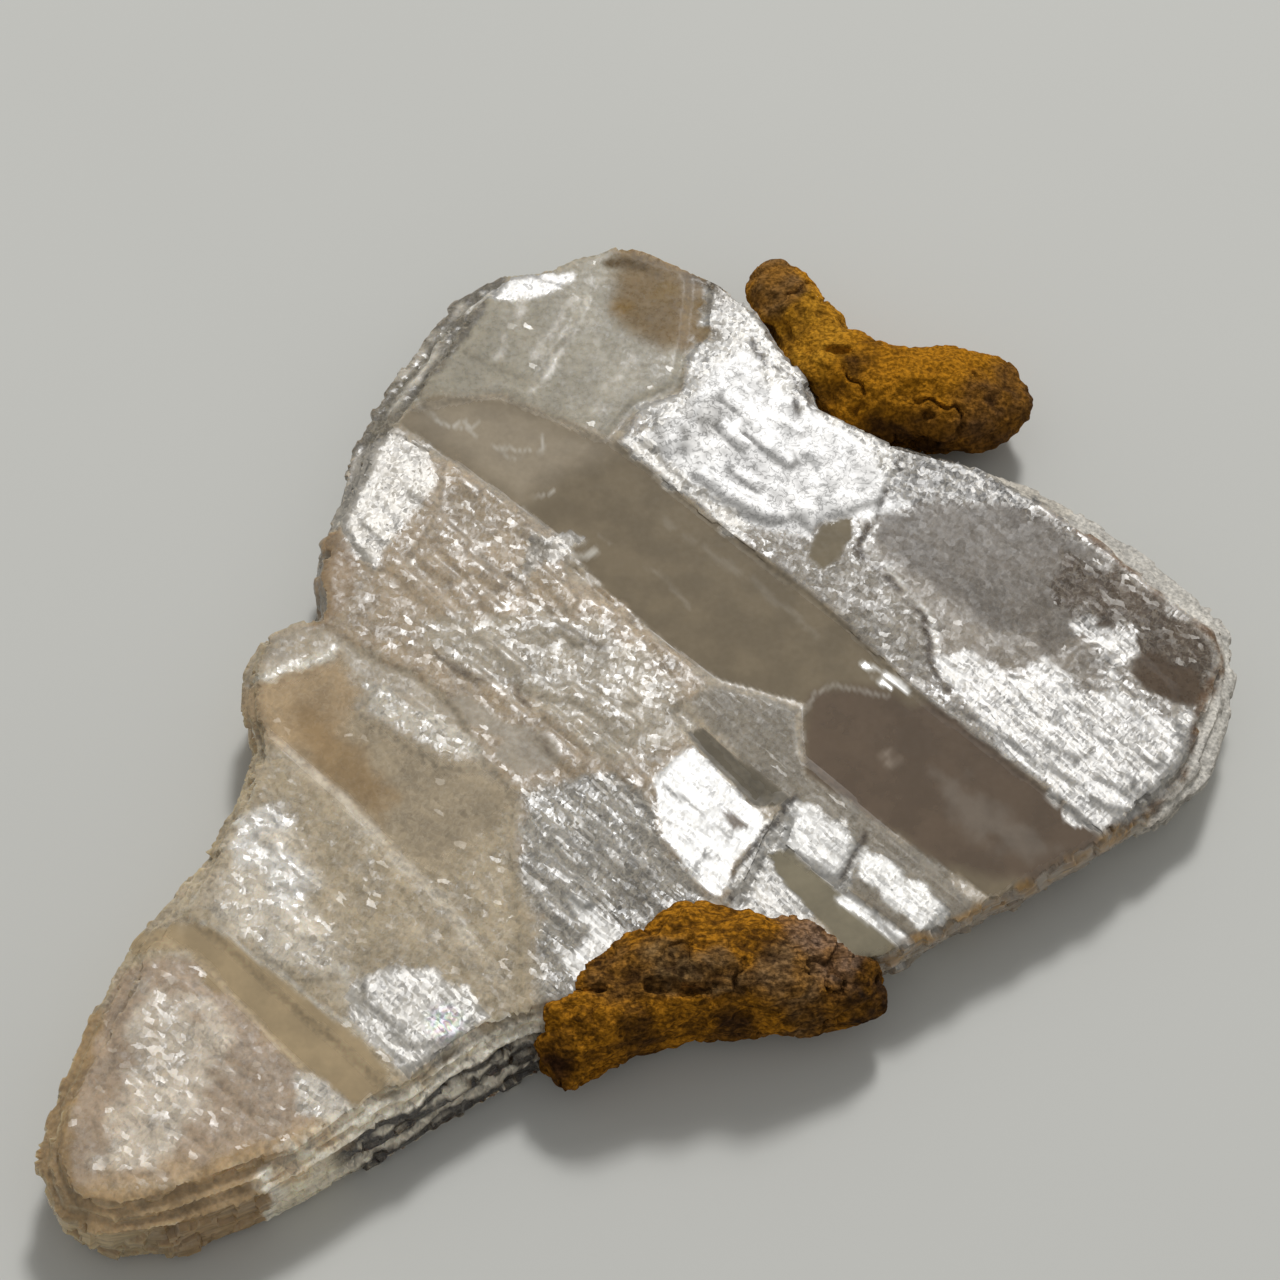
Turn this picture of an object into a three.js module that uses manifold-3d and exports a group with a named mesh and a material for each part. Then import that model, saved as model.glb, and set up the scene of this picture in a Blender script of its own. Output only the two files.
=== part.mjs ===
// A calcite crystal: one thick tabular plate of cleaved calcite, 57 mm across in plan and about
// 5 mm thick, with a lump of rusty iron oxide grown on its far edge and another on its near edge.
// Millimetres, +Z up. The plate lies on its lower cleavage face, and the origin is under the middle
// of the specimen's box.
//
// Two directions run through the whole crystal, as they do in any calcite: its growth bands and its
// cross cleavage. Ledges, cracks, slivers and broken edges all follow them.

import * as THREE from "three";
import { mergeVertices } from "three/addons/utils/BufferGeometryUtils.js";
import { ImprovedNoise } from "three/addons/math/ImprovedNoise.js";
import Module from "manifold-3d";

// ---- Driving dimensions ----------------------------------------------------------------------

const PLATE_THICKNESS = 4.6; // at the middle of the plate, up to the floor of its growth bands
const PLATE_WEDGE = 0.02; // fall of the upper face per mm towards +X: the plate thins to that side
const BAND_ANGLE = -43; // degrees from +X: the way the growth bands run
const CROSS_ANGLE = 62; // degrees from +X: the way the cross cleavage runs
const SEAT_GAP = 0.3; // clearance between a lump and the crystal that it grew on
const FLOOR_GAP = 0.25; // how far the lumps stay above the surface that the plate lies on

const SHEET_LEVELS = [0, 0.75, 1.5, 2.2, 2.9]; // where the lower sheets meet, from the underside
const SHEET_INSETS = [0.4, 0.1, 0.25, 0]; // how far each lower sheet's edge is set back, lowest first
const SHELF_DROP = 0.95; // how far the shelf round the plate lies below its upper face
const STEP_DROP = 0.5; // the same for the step halfway across the shelf
const LEAN_HEIGHT = 3.4; // height over which the plate's broken sides lean
const EDGE_STEP = 2.9; // length of one step of a broken edge
const EDGE_JAG = 0.2; // how far such a step stands out or in
const RISER = 0.12; // share of a step that its riser takes
const ROOF = 2 * PLATE_THICKNESS; // a height above the whole specimen, where cuts end

// Each broken edge has its own seed: the plate's lower sheets, its upper sheets, its ledges' limit,
// the ledges themselves. One more places the slivers.
const SEEDS = { lowerSheets: 2, upperSheets: 32, faceEdge: 34, ledges: 11, slivers: 99 };

// The plan of the plate, as the outer edge of the shelf just below its upper face. Each corner is
// x, y, the shelf's width there, and how far the underside stands out past the shelf, or in where
// negative: the plate's broken sides lean as its cleavage does.
const EDGE = [
  [25.8, -9.0, 0.9, -0.6], [22.8, -10.9, 0.3, -0.8], [19.2, -13.1, 0.2, -0.8], [15.3, -15.3, 0.2, -0.8],
  [11.6, -17.3, 0.3, -0.6], [7.6, -18.5, 0.5, -0.3], [2.4, -19.7, 0.8, 0.2], [-2.4, -20.5, 0.9, 0.6],
  [-4.9, -20.9, 1.0, 0.9], [-6.8, -21.8, 1.0, 1.1], [-9.3, -23.6, 1.1, 0.8], [-11.6, -25.2, 1.0, 0.6],
  [-14.2, -27.0, 1.0, 0.4], [-17.3, -28.9, 1.1, 0.3], [-21.0, -30.4, 1.3, 0.2],
  [-24.2, -30.9, 1.3, 0.1],
  [-26.4, -30.0, 1.0, 0], [-27.4, -27.8, 0.9, 0], [-27.3, -25.2, 1.0, 0.1], [-26.4, -22.0, 1.3, 0.2],
  [-25.1, -18.4, 1.5, 0.3], [-24.2, -16.3, 1.3, 0.3], [-22.2, -13.6, 1.0, 0.4],
  [-21.1, -12.0, 0.9, 0.4],
  [-19.9, -9.0, 0.8, 0.3], [-18.9, -6.2, 0.7, 0.2], [-19.5, -3.9, 0.6, 0.2], [-19.6, -1.6, 0.6, 0.2],
  [-18.8, 0.3, 0.5, 0.1], [-16.1, 1.4, 0.4, 0.1], [-16.6, 3.6, 0.6, 0.2], [-16.3, 6.2, 0.7, 0.2],
  [-15.4, 8.4, 0.8, 0.4], [-14.9, 11.6, 1.3, 0.4], [-13.3, 15.3, 1.7, 0.4], [-11.0, 19.5, 1.8, 0.3],
  [-9.8, 21.2, 1.6, 0.2], [-7.4, 23.1, 1.0, 0], [-5.0, 23.4, 0.7, -0.2], [-3.3, 24.2, 0.6, -0.3],
  [-1.5, 25.1, 0.7, -0.4], [0.6, 24.2, 0.6, -0.5], [2.9, 23.2, 0.5, -0.5], [4.8, 22.0, 0.4, -0.5],
  [6.3, 20.4, 0.4, -0.4], [7.5, 18.5, 0.4, -0.4], [9.0, 16.3, 0.4, -0.4], [9.4, 14.4, 0.4, -0.4],
  [11.0, 13.6, 0.5, -0.4], [13.5, 12.2, 0.6, -0.4], [16.9, 11.4, 0.7, -0.4], [19.0, 10.4, 0.9, -0.4],
  [21.5, 9.3, 1.2, -0.3], [25.0, 6.5, 1.4, -0.3], [28.4, 3.3, 1.4, -0.2], [29.8, 1.2, 1.1, 0],
  [29.9, -1.2, 0.9, 0], [29.0, -4.2, 1.0, -0.1], [27.9, -6.9, 1.2, -0.2],
];

// Sheets of crystal that stand on the floor of the growth bands. Each has its plan, its height above
// that floor, and how rough its broken edge is. A plan that runs past the plate ends at the shelf.
const LEDGES = [
  {
    // the silvery slab at the far side, with one straight broken edge along the bands
    plan: [
      [-1.3, 11.8], [3.1, 7.7], [7.6, 3.7], [10.5, 0.9], [13.2, -2.3], [17.6, -6.3], [22.7, -10.8],
      [24, -13], [34, -8], [34, 12], [8, 26], [3.9, 22.6], [3.6, 18.6], [2.6, 17.2], [2.1, 15.0],
      [0.0, 13.8],
    ],
    height: 0.34,
    jag: 0.08,
  },
  {
    // a bright sheet on that slab's +X end
    plan: [
      [15.4, -3.6], [17.6, -2.0], [20.6, -2.4], [22.0, -0.4], [24.4, 0.2], [26.6, -2.6],
      [26.4, -6.8], [23.4, -9.4], [18.2, -5.6],
    ],
    height: 0.46,
    jag: 0.2,
  },
  {
    // a bright sheet by the far lump
    plan: [
      [-0.2, 12.1], [3.4, 8.6], [6.0, 7.2], [9.0, 7.2], [12.4, 8.4], [13.0, 11.2], [9.0, 13.4],
      [7.4, 16.8], [4.6, 19.6], [3.4, 16.6],
    ],
    height: 0.46,
    jag: 0.22,
  },
  {
    // the far corner, left of the slab
    plan: [
      [-13.6, 11.4], [-12.0, 13.9], [-7.2, 14.8], [-4.4, 13.4], [-2.0, 12.0], [-0.6, 14.4],
      [1.6, 15.6], [2.2, 18.4], [2.8, 26], [-12, 25], [-18, 12],
    ],
    height: 0.2,
    jag: 0.12,
  },
  {
    // a step on that corner that ends along the cross cleavage
    plan: [
      [-2.9, 20.9], [-3.8, 18.6], [-5.6, 15.4], [-7.6, 16.6], [-9.2, 17.4], [-9.6, 21.4],
      [-6.6, 22.8],
    ],
    height: 0.36,
    jag: 0.12,
  },
  {
    // the grainy middle, left of the growth bands
    plan: [
      [-13.2, 12.4], [-8.2, 9.2], [-5.6, 7.0], [-4.1, 5.6], [-3.6, 3.4], [-0.9, 1.6], [1.6, -0.7],
      [3.4, -2.4], [1.4, -4.0], [2.6, -6.0], [5.4, -9.6], [4.0, -13.4], [3.6, -22], [-5.2, -24],
      [-5.6, -16.0], [-6.2, -11.6], [-5.9, -9.2], [-7.6, -6.8], [-9.0, -4.2], [-11.0, -2.2],
      [-13.9, -0.6], [-17, 1.2], [-18, 8],
    ],
    height: 0.26,
    jag: 0.22,
  },
  {
    // the glittering corner of the grainy middle
    plan: [
      [-13.6, 12.4], [-10.9, 11.0], [-10.3, 9.2], [-10.7, 6.5], [-12.1, 4.2], [-13.3, 3.9],
      [-15, 6.3], [-15.4, 9.0],
    ],
    height: 0.42,
    jag: 0.15,
  },
  {
    // the mirror-bright block that the cross cracks cut
    plan: [
      [1.4, -7.2], [2.6, -6.0], [5.5, -9.4], [7.0, -8.7], [5.2, -13.0], [4.0, -14.6], [1.6, -12.6],
      [0.2, -9.0],
    ],
    height: 0.38,
    jag: 0.08,
  },
  {
    // the long bar between the two smooth bands
    plan: [
      [3.6, -2.6], [5.9, -3.2], [7.7, -4.0], [7.9, -6.6], [11.6, -10.4], [17, -16], [13.8, -18],
      [7.9, -10.9], [2.2, -3.6],
    ],
    height: 0.18,
    jag: 0.08,
  },
  {
    // the bright blocks past the cross cracks
    plan: [[7.6, -9.4], [8.6, -9.0], [10.4, -11.0], [9.4, -13.4], [6.9, -11.4]],
    height: 0.36,
    jag: 0.06,
  },
  {
    plan: [[10.8, -11.5], [12.2, -12.1], [14.6, -14.6], [13.2, -16.2], [12.0, -15.2], [9.9, -13.8]],
    height: 0.3,
    jag: 0.06,
  },
  {
    // the pale tongue in the honey-coloured hollow
    plan: [
      [-13.7, -4.4], [-13.0, -2.9], [-11.8, -3.2], [-10.0, -5.0], [-7.6, -6.2], [-7.9, -7.3],
      [-9.6, -7.3], [-11.8, -5.7],
    ],
    height: 0.2,
    jag: 0.15,
  },
  {
    // the shelf along the hollow's -X edge
    plan: [[-22, -3.4], [-18.6, -2.7], [-16.3, -1.9], [-14.9, -0.9], [-15.6, 2], [-22, 2]],
    height: 0.18,
    jag: 0.1,
  },
  {
    // the slab between the hollow and the smooth groove
    plan: [
      [-22, -3.2], [-19.1, -4.9], [-17.2, -6.6], [-13.9, -9.6], [-12.1, -11.8], [-9.6, -14.3],
      [-8.2, -16.6], [-6.4, -19.0], [-5.6, -24], [-9, -28], [-11.6, -23.9], [-14.9, -21.0],
      [-18.6, -17.7], [-20.6, -15.9], [-22.4, -14.8], [-26, -12],
    ],
    height: 0.28,
    jag: 0.1,
  },
  {
    // a frosted sheet on that slab
    plan: [
      [-19.4, -9.6], [-18.0, -10.2], [-15.8, -12.6], [-14.4, -15.4], [-14.0, -18.4], [-16.0, -18.8],
      [-18.6, -16.8], [-20.6, -14.4],
    ],
    height: 0.4,
    jag: 0.2,
  },
  {
    // a comb of bright cleavage on the near side of that slab
    plan: [
      [-13.0, -17.6], [-11.4, -16.2], [-8.8, -16.8], [-7.0, -19.4], [-8.6, -21.6], [-10.8, -22.0],
      [-12.8, -19.6],
    ],
    height: 0.42,
    jag: 0.18,
  },
  {
    // the corner past the groove, which ends in the plate's tip
    plan: [
      [-23.6, -16.4], [-21.1, -17.5], [-18.4, -20.4], [-15.8, -23.1], [-12.4, -26.2], [-13, -32],
      [-30, -33], [-30, -20],
    ],
    height: 0.26,
    jag: 0.08,
  },
  {
    // the worn facet on top of that corner
    plan: [
      [-22.2, -18.2], [-20.4, -19.2], [-17.2, -23.4], [-16.6, -26.4], [-19.6, -28.2],
      [-23.8, -28.4], [-25.0, -25.6], [-23.8, -20.8],
    ],
    height: 0.38,
    jag: 0.2,
  },
];
const LEDGE_INSET = 0.12; // how far the ledges end inside the edge of the upper face
const LEDGE_STEP = 1.9; // length of one step of a ledge's broken edge

// Shallow steps in the plate's underside, where flakes split off: plan and depth.
const UNDERSIDE_STEPS = [
  { plan: [[-40, -8], [-16, -6], [-12.4, 0.4], [-8.6, 7.0], [-9.4, 26], [-40, 26]], depth: 0.3 },
  {
    plan: [
      [12, 30], [10.6, 9.0], [15.4, 4.6], [20.0, 0.2], [24.6, -3.9], [40, -6], [40, 30],
    ],
    depth: 0.35,
  },
  {
    plan: [
      [-40, -26], [-24.0, -25.4], [-19.2, -26.4], [-16.0, -23.0], [-13.0, -21.2], [-13, -40],
      [-40, -40],
    ],
    depth: 0.25,
  },
];

// Cracks cut across the ledges, as lines in plan.
const CRACKS = [
  [[13.9, 11.2], [12.5, 8.5], [11.3, 5.4], [13.0, 3.2], [14.4, 1.0], [14.2, -1.2], [15.0, -2.8]],
  [[8.4, -7.2], [7.2, -10.2], [5.9, -12.4], [4.6, -15.0]],
  [[11.4, -9.6], [10.4, -12.4], [9.0, -15.6]],
  [[-3.4, 4.2], [0.2, 0.2], [2.2, -3.4]],
  [[-13.0, -12.2], [-9.6, -16.8], [-7.6, -19.6]],
];
const CRACK_WIDTH = 0.24;
const CRACK_DEPTH = 0.3;
const CRACK_END_SHARE = 0.7; // how deep a crack's first and last stretch is, as a share of that depth

// Fields of slivers: thin splinters of cleavage that lie along the bands. Each field is a strip with
// its middle, its length along the bands, its width across them, and how many slivers it holds.
const SLIVER_FIELDS = [
  { middle: [-9.0, 5.0], length: 10, width: 8.0, count: 15 },
  { middle: [-3.0, -2.2], length: 12, width: 8.0, count: 18 },
  { middle: [-1.4, -12.6], length: 6, width: 8.0, count: 10 },
  { middle: [21.6, -4.6], length: 8, width: 6.0, count: 13 },
  { middle: [6.8, 11.2], length: 6, width: 7.0, count: 11 },
  { middle: [-16.5, -14.0], length: 5, width: 7.0, count: 9 },
  { middle: [-20.8, -24.0], length: 5, width: 7.0, count: 12 },
];
const SLIVER_LENGTH = [1.6, 5.2]; // from the shortest to the longest
const SLIVER_WIDTH = [0.35, 1.0];
const SLIVER_RISE = [0.04, 0.15]; // of its upper edge above the ledge that carries it
const SLIVER_TILT = 0.12; // fall across its width, per mm, at most
const SLIVER_SKEW = 8; // degrees that it lies off the bands, at most
const SLIVER_CORNERS = [[-1, -1], [0.9, -0.8], [1, 1], [-0.8, 0.7]]; // in half lengths, half widths

// The lumps are swept along a spine. Each station gives where its middle is, and half its width and
// half its height there. A pit gives its middle and its radius.
const FAR_LUMP = {
  stations: [
    [6.6, 24.2, 2.7, 1.3, 1.4],
    [7.4, 22.8, 2.7, 1.7, 1.9],
    [8.8, 20.4, 2.8, 1.7, 2.1],
    [10.0, 18.2, 2.8, 2.0, 2.2],
    [12.0, 16.4, 2.8, 2.6, 2.4],
    [15.0, 15.8, 2.8, 2.8, 2.5],
    [18.0, 15.5, 2.8, 2.8, 2.4],
    [20.6, 15.4, 2.8, 2.4, 2.1],
  ],
  roughness: 0.3,
  seed: 3.7,
  pits: [[12.9, 13.6, 5.2, 0.55], [10.4, 17.4, 5.2, 0.5]],
};
const NEAR_LUMP = {
  stations: [
    [-3.5, -23.3, 2.4, 0.7, 0.9],
    [-3.3, -21.8, 2.7, 1.5, 1.8],
    [-2.4, -20.3, 3.2, 2.0, 2.4],
    [-0.2, -18.9, 3.4, 2.3, 2.7],
    [2.6, -17.8, 3.5, 2.8, 2.9],
    [5.4, -17.6, 3.4, 2.7, 2.8],
    [7.8, -17.9, 3.2, 2.4, 2.6],
    [9.8, -18.4, 2.9, 1.7, 2.1],
    [11.6, -18.9, 2.7, 1.1, 1.4],
  ],
  roughness: 0.36,
  seed: 8.1,
  pits: [[1.1, -19.4, 6.2, 0.62], [2.4, -19.6, 6.0, 0.6], [-2.2, -19.4, 5.4, 0.5]],
};
const LUMP_RINGS = 30;
const LUMP_SIDES = 22;
const LUMP_SQUARENESS = 0.82; // 1 gives a lump an elliptical section, less makes its shoulders squarer
const LUMP_BLUNTNESS = 7; // the more, the blunter its ends
const LUMP_END = 0.3; // size of a lump's first and last ring, as a share of its girth there
const LUMP_TIP = 0.35; // how far each end bulges past its last ring
const CRUST_OCTAVES = [[0.42, 1.2], [0.95, 0.8], [2.1, 0.5]]; // bumps per mm and relative height
const PIT_STRETCH = [1.9, 0.6, 1.2]; // a pit's size along X, Y and Z, in radii

// ---- Solids ----------------------------------------------------------------------------------

const wasm = await Module();
wasm.setup();
const noise = new ImprovedNoise();

/** A closed geometry as a solid for joining and cutting. */
function solidOf(geometry) {
  const bare = geometry.clone();
  bare.deleteAttribute("normal");
  bare.deleteAttribute("uv");
  const merged = mergeVertices(bare, 1e-4);
  return new wasm.Manifold(
    new wasm.Mesh({
      numProp: 3,
      vertProperties: merged.attributes.position.array,
      triVerts: new Uint32Array(merged.index.array),
    }),
  );
}

/** A solid back as a geometry, with flat faces. */
function geometryOf(solid) {
  const mesh = solid.getMesh();
  const geometry = new THREE.BufferGeometry();
  geometry.setAttribute("position", new THREE.BufferAttribute(new Float32Array(mesh.vertProperties), 3));
  geometry.setIndex(new THREE.BufferAttribute(new Uint32Array(mesh.triVerts), 1));
  const flat = geometry.toNonIndexed();
  flat.computeVertexNormals();
  return flat;
}

/** All solids joined in one. */
const joined = (solids) => solids.reduce((whole, solid) => whole.add(solid));

/** Numbers from 0 to 1 that are the same at every run. */
function randomFrom(seed) {
  let state = seed * 7919 + 17;
  return () => {
    state = (state * 48271) % 2147483647;
    return state / 2147483647;
  };
}

/** A number between the two ends of a range. */
const between = ([low, high], share) => low + (high - low) * share;

/** Height of the floor of the growth bands, which is the plate's upper face without its ledges. */
const bandFloor = (x) => PLATE_THICKNESS - PLATE_WEDGE * x;

// ---- Plans -----------------------------------------------------------------------------------

/** The unit vector that points degrees anticlockwise from +X. */
function heading(degrees) {
  const angle = THREE.MathUtils.degToRad(degrees);
  return new THREE.Vector2(Math.cos(angle), Math.sin(angle));
}
const alongBands = heading(BAND_ANGLE);
const alongCross = heading(CROSS_ANGLE);

/** The plan's corners as vectors, anticlockwise. */
function corners(plan) {
  const points = plan.map(([x, y]) => new THREE.Vector2(x, y));
  return THREE.ShapeUtils.isClockWise(points) ? points.reverse() : points;
}

/** The unit normal that points out of an anticlockwise plan, on the edge from a to b. */
function outward(a, b) {
  const edge = b.clone().sub(a).normalize();
  return new THREE.Vector2(edge.y, -edge.x);
}

/** The direction out of an anticlockwise plan at its corner i. */
function mitre(points, i) {
  const after = points[(i + 1) % points.length];
  return outward(points.at(i - 1), points[i]).add(outward(points[i], after)).normalize();
}

const EDGE_CORNERS = [...EDGE].reverse(); // anticlockwise
const EDGE_POINTS = EDGE_CORNERS.map(([x, y]) => new THREE.Vector2(x, y));

/** The plan of the plate, with each corner set back by what setBack gives for its shelf and lean. */
const platePlan = (setBack) =>
  EDGE_CORNERS.map(([, , shelf, lean], i) =>
    EDGE_POINTS[i].clone().addScaledVector(mitre(EDGE_POINTS, i), -setBack(shelf, lean)),
  );

/** An anticlockwise plan whose edges break in short steps, grown outwards by grow. */
function broken(points, { grow = 0, jag = EDGE_JAG, step = EDGE_STEP, seed }) {
  const random = randomFrom(seed);
  const made = [];
  points.forEach((point, i) => {
    const after = points[(i + 1) % points.length];
    made.push(point.clone().addScaledVector(mitre(points, i), jag * (random() - 0.5) + grow));
    const pieces = Math.max(1, Math.round(point.distanceTo(after) / step));
    const normal = outward(point, after);
    let reach = jag * (2 * random() - 1);
    for (let k = 1; k < pieces; k++) {
      const next = jag * (2 * random() - 1);
      for (const [share, out] of [[k - RISER, reach], [k + RISER, next]]) {
        made.push(point.clone().lerp(after, share / pieces).addScaledVector(normal, out + grow));
      }
      reach = next;
    }
  });
  return made;
}

/** An upright prism on a plan, from low up to high, each a height or a function of x and y. */
function prism(points, low, high) {
  const geometry = new THREE.ExtrudeGeometry(new THREE.Shape(points), { depth: 1, bevelEnabled: false });
  const place = geometry.attributes.position;
  for (let i = 0; i < place.count; i++) {
    const level = place.getZ(i) > 0.5 ? high : low;
    place.setZ(i, typeof level === "function" ? level(place.getX(i), place.getY(i)) : level);
  }
  return solidOf(geometry);
}

/** Whether a point lies in a plan. */
function isInside(points, point) {
  let crossings = 0;
  points.forEach((a, i) => {
    const b = points[(i + 1) % points.length];
    if (a.y > point.y !== b.y > point.y) {
      if (point.x < a.x + ((b.x - a.x) * (point.y - a.y)) / (b.y - a.y)) crossings += 1;
    }
  });
  return crossings % 2 === 1;
}

// ---- The crystal -----------------------------------------------------------------------------

/** The stack of cleavage sheets that makes the plate, each with its own broken edge. */
function plate(grow) {
  const lower = SHEET_INSETS.map((inset, i) => {
    const [bottom, top] = [SHEET_LEVELS[i], SHEET_LEVELS[i + 1]];
    const leanShare = 1 - (bottom + top) / 2 / LEAN_HEIGHT;
    const plan = platePlan((shelf, lean) => inset - lean * leanShare);
    return prism(broken(plan, { grow, seed: SEEDS.lowerSheets + i }), bottom - grow, top + grow);
  });
  const upper = [[SHELF_DROP, 0], [STEP_DROP, 0.5], [0, 1]].map(([drop, share], i) => {
    const plan = platePlan((shelf) => shelf * share);
    const outline = broken(plan, { grow, seed: SEEDS.upperSheets + i });
    return prism(outline, SHEET_LEVELS.at(-1) - grow, (x) => bandFloor(x) - drop + grow);
  });
  return joined([...lower, ...upper]);
}

/** What stands on the plate's upper face is cut off here, a little inside that face's edge. */
const faceColumn = (grow) =>
  prism(
    broken(platePlan((shelf) => shelf + LEDGE_INSET), { grow, jag: EDGE_JAG / 2, seed: SEEDS.faceEdge }),
    SHEET_LEVELS[2],
    ROOF,
  );

/** The ledges that stand on the floor of the growth bands. */
function ledges(grow) {
  return joined(
    LEDGES.map(({ plan, height, jag }, i) => {
      const seed = SEEDS.ledges + i;
      const outline = broken(corners(plan), { jag, grow, step: LEDGE_STEP, seed });
      return prism(outline, SHEET_LEVELS[3], (x) => bandFloor(x) + height + grow);
    }),
  );
}

/** Height of the highest ledge under a point. */
function faceHeight(point) {
  const heights = LEDGES.filter(({ plan }) => isInside(corners(plan), point)).map(({ height }) => height);
  return bandFloor(point.x) + Math.max(0, ...heights);
}

/** One sliver: a long rhomb off the bands by skew degrees, which falls a little across its width. */
function sliver({ middle, length, width, top, tilt, skew }) {
  const along = heading(BAND_ANGLE + skew).multiplyScalar(length / 2);
  const across = heading(CROSS_ANGLE - skew).multiplyScalar(width / 2);
  const at = (u, v) => middle.clone().addScaledVector(along, u).addScaledVector(across, v);
  const plan = SLIVER_CORNERS.map(([u, v]) => at(u, v));
  const rise = (x, y) => tilt * ((x - middle.x) * alongCross.x + (y - middle.y) * alongCross.y);
  return prism(plan, SHEET_LEVELS[3], (x, y) => top + rise(x, y));
}

/** The slivers of every field, each on the ledge under it. */
function slivers() {
  const random = randomFrom(SEEDS.slivers);
  const made = [];
  for (const { middle, length, width, count } of SLIVER_FIELDS) {
    for (let i = 0; i < count; i++) {
      const place = new THREE.Vector2(...middle)
        .addScaledVector(alongBands, length * (random() - 0.5))
        .addScaledVector(alongCross, width * (random() - 0.5));
      made.push(
        sliver({
          middle: place,
          length: between(SLIVER_LENGTH, random() ** 2),
          width: between(SLIVER_WIDTH, random()),
          top: faceHeight(place) + between(SLIVER_RISE, random()),
          tilt: between([-SLIVER_TILT, SLIVER_TILT], random()),
          skew: between([-SLIVER_SKEW, SLIVER_SKEW], random()),
        }),
      );
    }
  }
  return joined(made);
}

/** A crack: a groove along a line in plan, shallower at both ends. */
function crack(line) {
  const bits = [];
  for (let i = 0; i + 1 < line.length; i++) {
    const a = new THREE.Vector2(...line[i]);
    const b = new THREE.Vector2(...line[i + 1]);
    const side = outward(a, b).multiplyScalar(CRACK_WIDTH / 2);
    const ahead = b.clone().sub(a).setLength(CRACK_WIDTH / 3);
    const plan = [
      a.clone().sub(ahead).add(side),
      b.clone().add(ahead).add(side),
      b.clone().add(ahead).sub(side),
      a.clone().sub(ahead).sub(side),
    ];
    const isEnd = i === 0 || i + 2 === line.length;
    const depth = CRACK_DEPTH * (isEnd ? CRACK_END_SHARE : 1);
    bits.push(prism(plan, faceHeight(a.clone().lerp(b, 0.5)) - depth, ROOF));
  }
  return joined(bits);
}

function calciteCrystal() {
  const underside = joined(UNDERSIDE_STEPS.map(({ plan, depth }) => prism(corners(plan), -1, depth)));
  return plate(0)
    .add(ledges(0).add(slivers()).intersect(faceColumn(0)))
    .subtract(joined(CRACKS.map(crack)))
    .subtract(underside);
}

/** The crystal grown by the seat gap, which is what a lump is cut back from. */
const crystalWithClearance = () => plate(SEAT_GAP).add(ledges(SEAT_GAP).intersect(faceColumn(SEAT_GAP)));

// ---- The lumps of iron oxide -----------------------------------------------------------------

/** Rough relief of the iron oxide at a point: broad lumps with finer crust on them. */
function crust(point, seed) {
  const { x, y, z } = point;
  const at = (scale) => noise.noise(x * scale + seed, y * scale - seed, z * scale + 2 * seed);
  return CRUST_OCTAVES.reduce((relief, [scale, height]) => relief + height * at(scale), 0);
}

/** A cosine or sine with its sign, squared off a little. */
const squared = (value) => Math.sign(value) * Math.abs(value) ** LUMP_SQUARENESS;

/** A lump swept along its stations, closed at both ends, with rough relief. */
function sweptLump({ stations, roughness, seed }) {
  const curve = (points) => new THREE.CatmullRomCurve3(points, false, "centripetal");
  const spine = curve(stations.map(([x, y, z]) => new THREE.Vector3(x, y, z)));
  const girth = curve(stations.map(([, , , width, height]) => new THREE.Vector3(width, height, 0)));
  const up = new THREE.Vector3(0, 0, 1);
  const positions = [];
  const put = (point, outwards) => {
    const placed = point.clone().addScaledVector(outwards, roughness * crust(point, seed));
    positions.push(placed.x, placed.y, Math.max(placed.z, FLOOR_GAP));
  };
  for (let ring = 0; ring <= LUMP_RINGS; ring++) {
    const t = ring / LUMP_RINGS;
    const middle = spine.getPoint(t);
    const aside = spine.getTangent(t).setZ(0).normalize().cross(up);
    const end = Math.sqrt(Math.max(LUMP_END ** 2, 1 - Math.abs(2 * t - 1) ** LUMP_BLUNTNESS));
    const { x: halfWidth, y: halfHeight } = girth.getPoint(t).multiplyScalar(end);
    for (let side = 0; side < LUMP_SIDES; side++) {
      const angle = (2 * Math.PI * side) / LUMP_SIDES;
      const outwards = aside.clone().multiplyScalar(Math.cos(angle)).addScaledVector(up, Math.sin(angle));
      const point = middle.clone().addScaledVector(aside, halfWidth * squared(Math.cos(angle)));
      put(point.addScaledVector(up, halfHeight * squared(Math.sin(angle))), outwards);
    }
  }
  const [first, last] = [0, 1].map((t) => {
    const away = spine.getTangent(t).multiplyScalar(t ? 1 : -1);
    put(spine.getPoint(t).addScaledVector(away, LUMP_TIP), away);
    return positions.length / 3 - 1;
  });
  const index = [];
  const lastRing = LUMP_RINGS * LUMP_SIDES;
  for (let side = 0; side < LUMP_SIDES; side++) {
    const next = (side + 1) % LUMP_SIDES;
    for (let ring = 0; ring < LUMP_RINGS; ring++) {
      const a = ring * LUMP_SIDES + side;
      const b = ring * LUMP_SIDES + next;
      index.push(a, a + LUMP_SIDES, b + LUMP_SIDES, a, b + LUMP_SIDES, b);
    }
    index.push(first, side, next, last, lastRing + next, lastRing + side);
  }
  const geometry = new THREE.BufferGeometry();
  geometry.setAttribute("position", new THREE.Float32BufferAttribute(positions, 3));
  geometry.setIndex(index);
  return solidOf(geometry);
}

/** A small hollow in a lump, longer than it is wide. */
function pit([x, y, z, radius]) {
  const geometry = new THREE.IcosahedronGeometry(radius, 1);
  geometry.scale(...PIT_STRETCH);
  geometry.translate(x, y, z);
  return solidOf(geometry);
}

/** The largest body of a solid, without the crumbs that a cut leaves beside it. */
const largest = (solid) =>
  solid.decompose().reduce((most, body) => (body.volume() > most.volume() ? body : most));

const ironOxideLump = (lump, keepClear) =>
  largest(sweptLump(lump).subtract(joined(lump.pits.map(pit))).subtract(keepClear));

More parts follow.
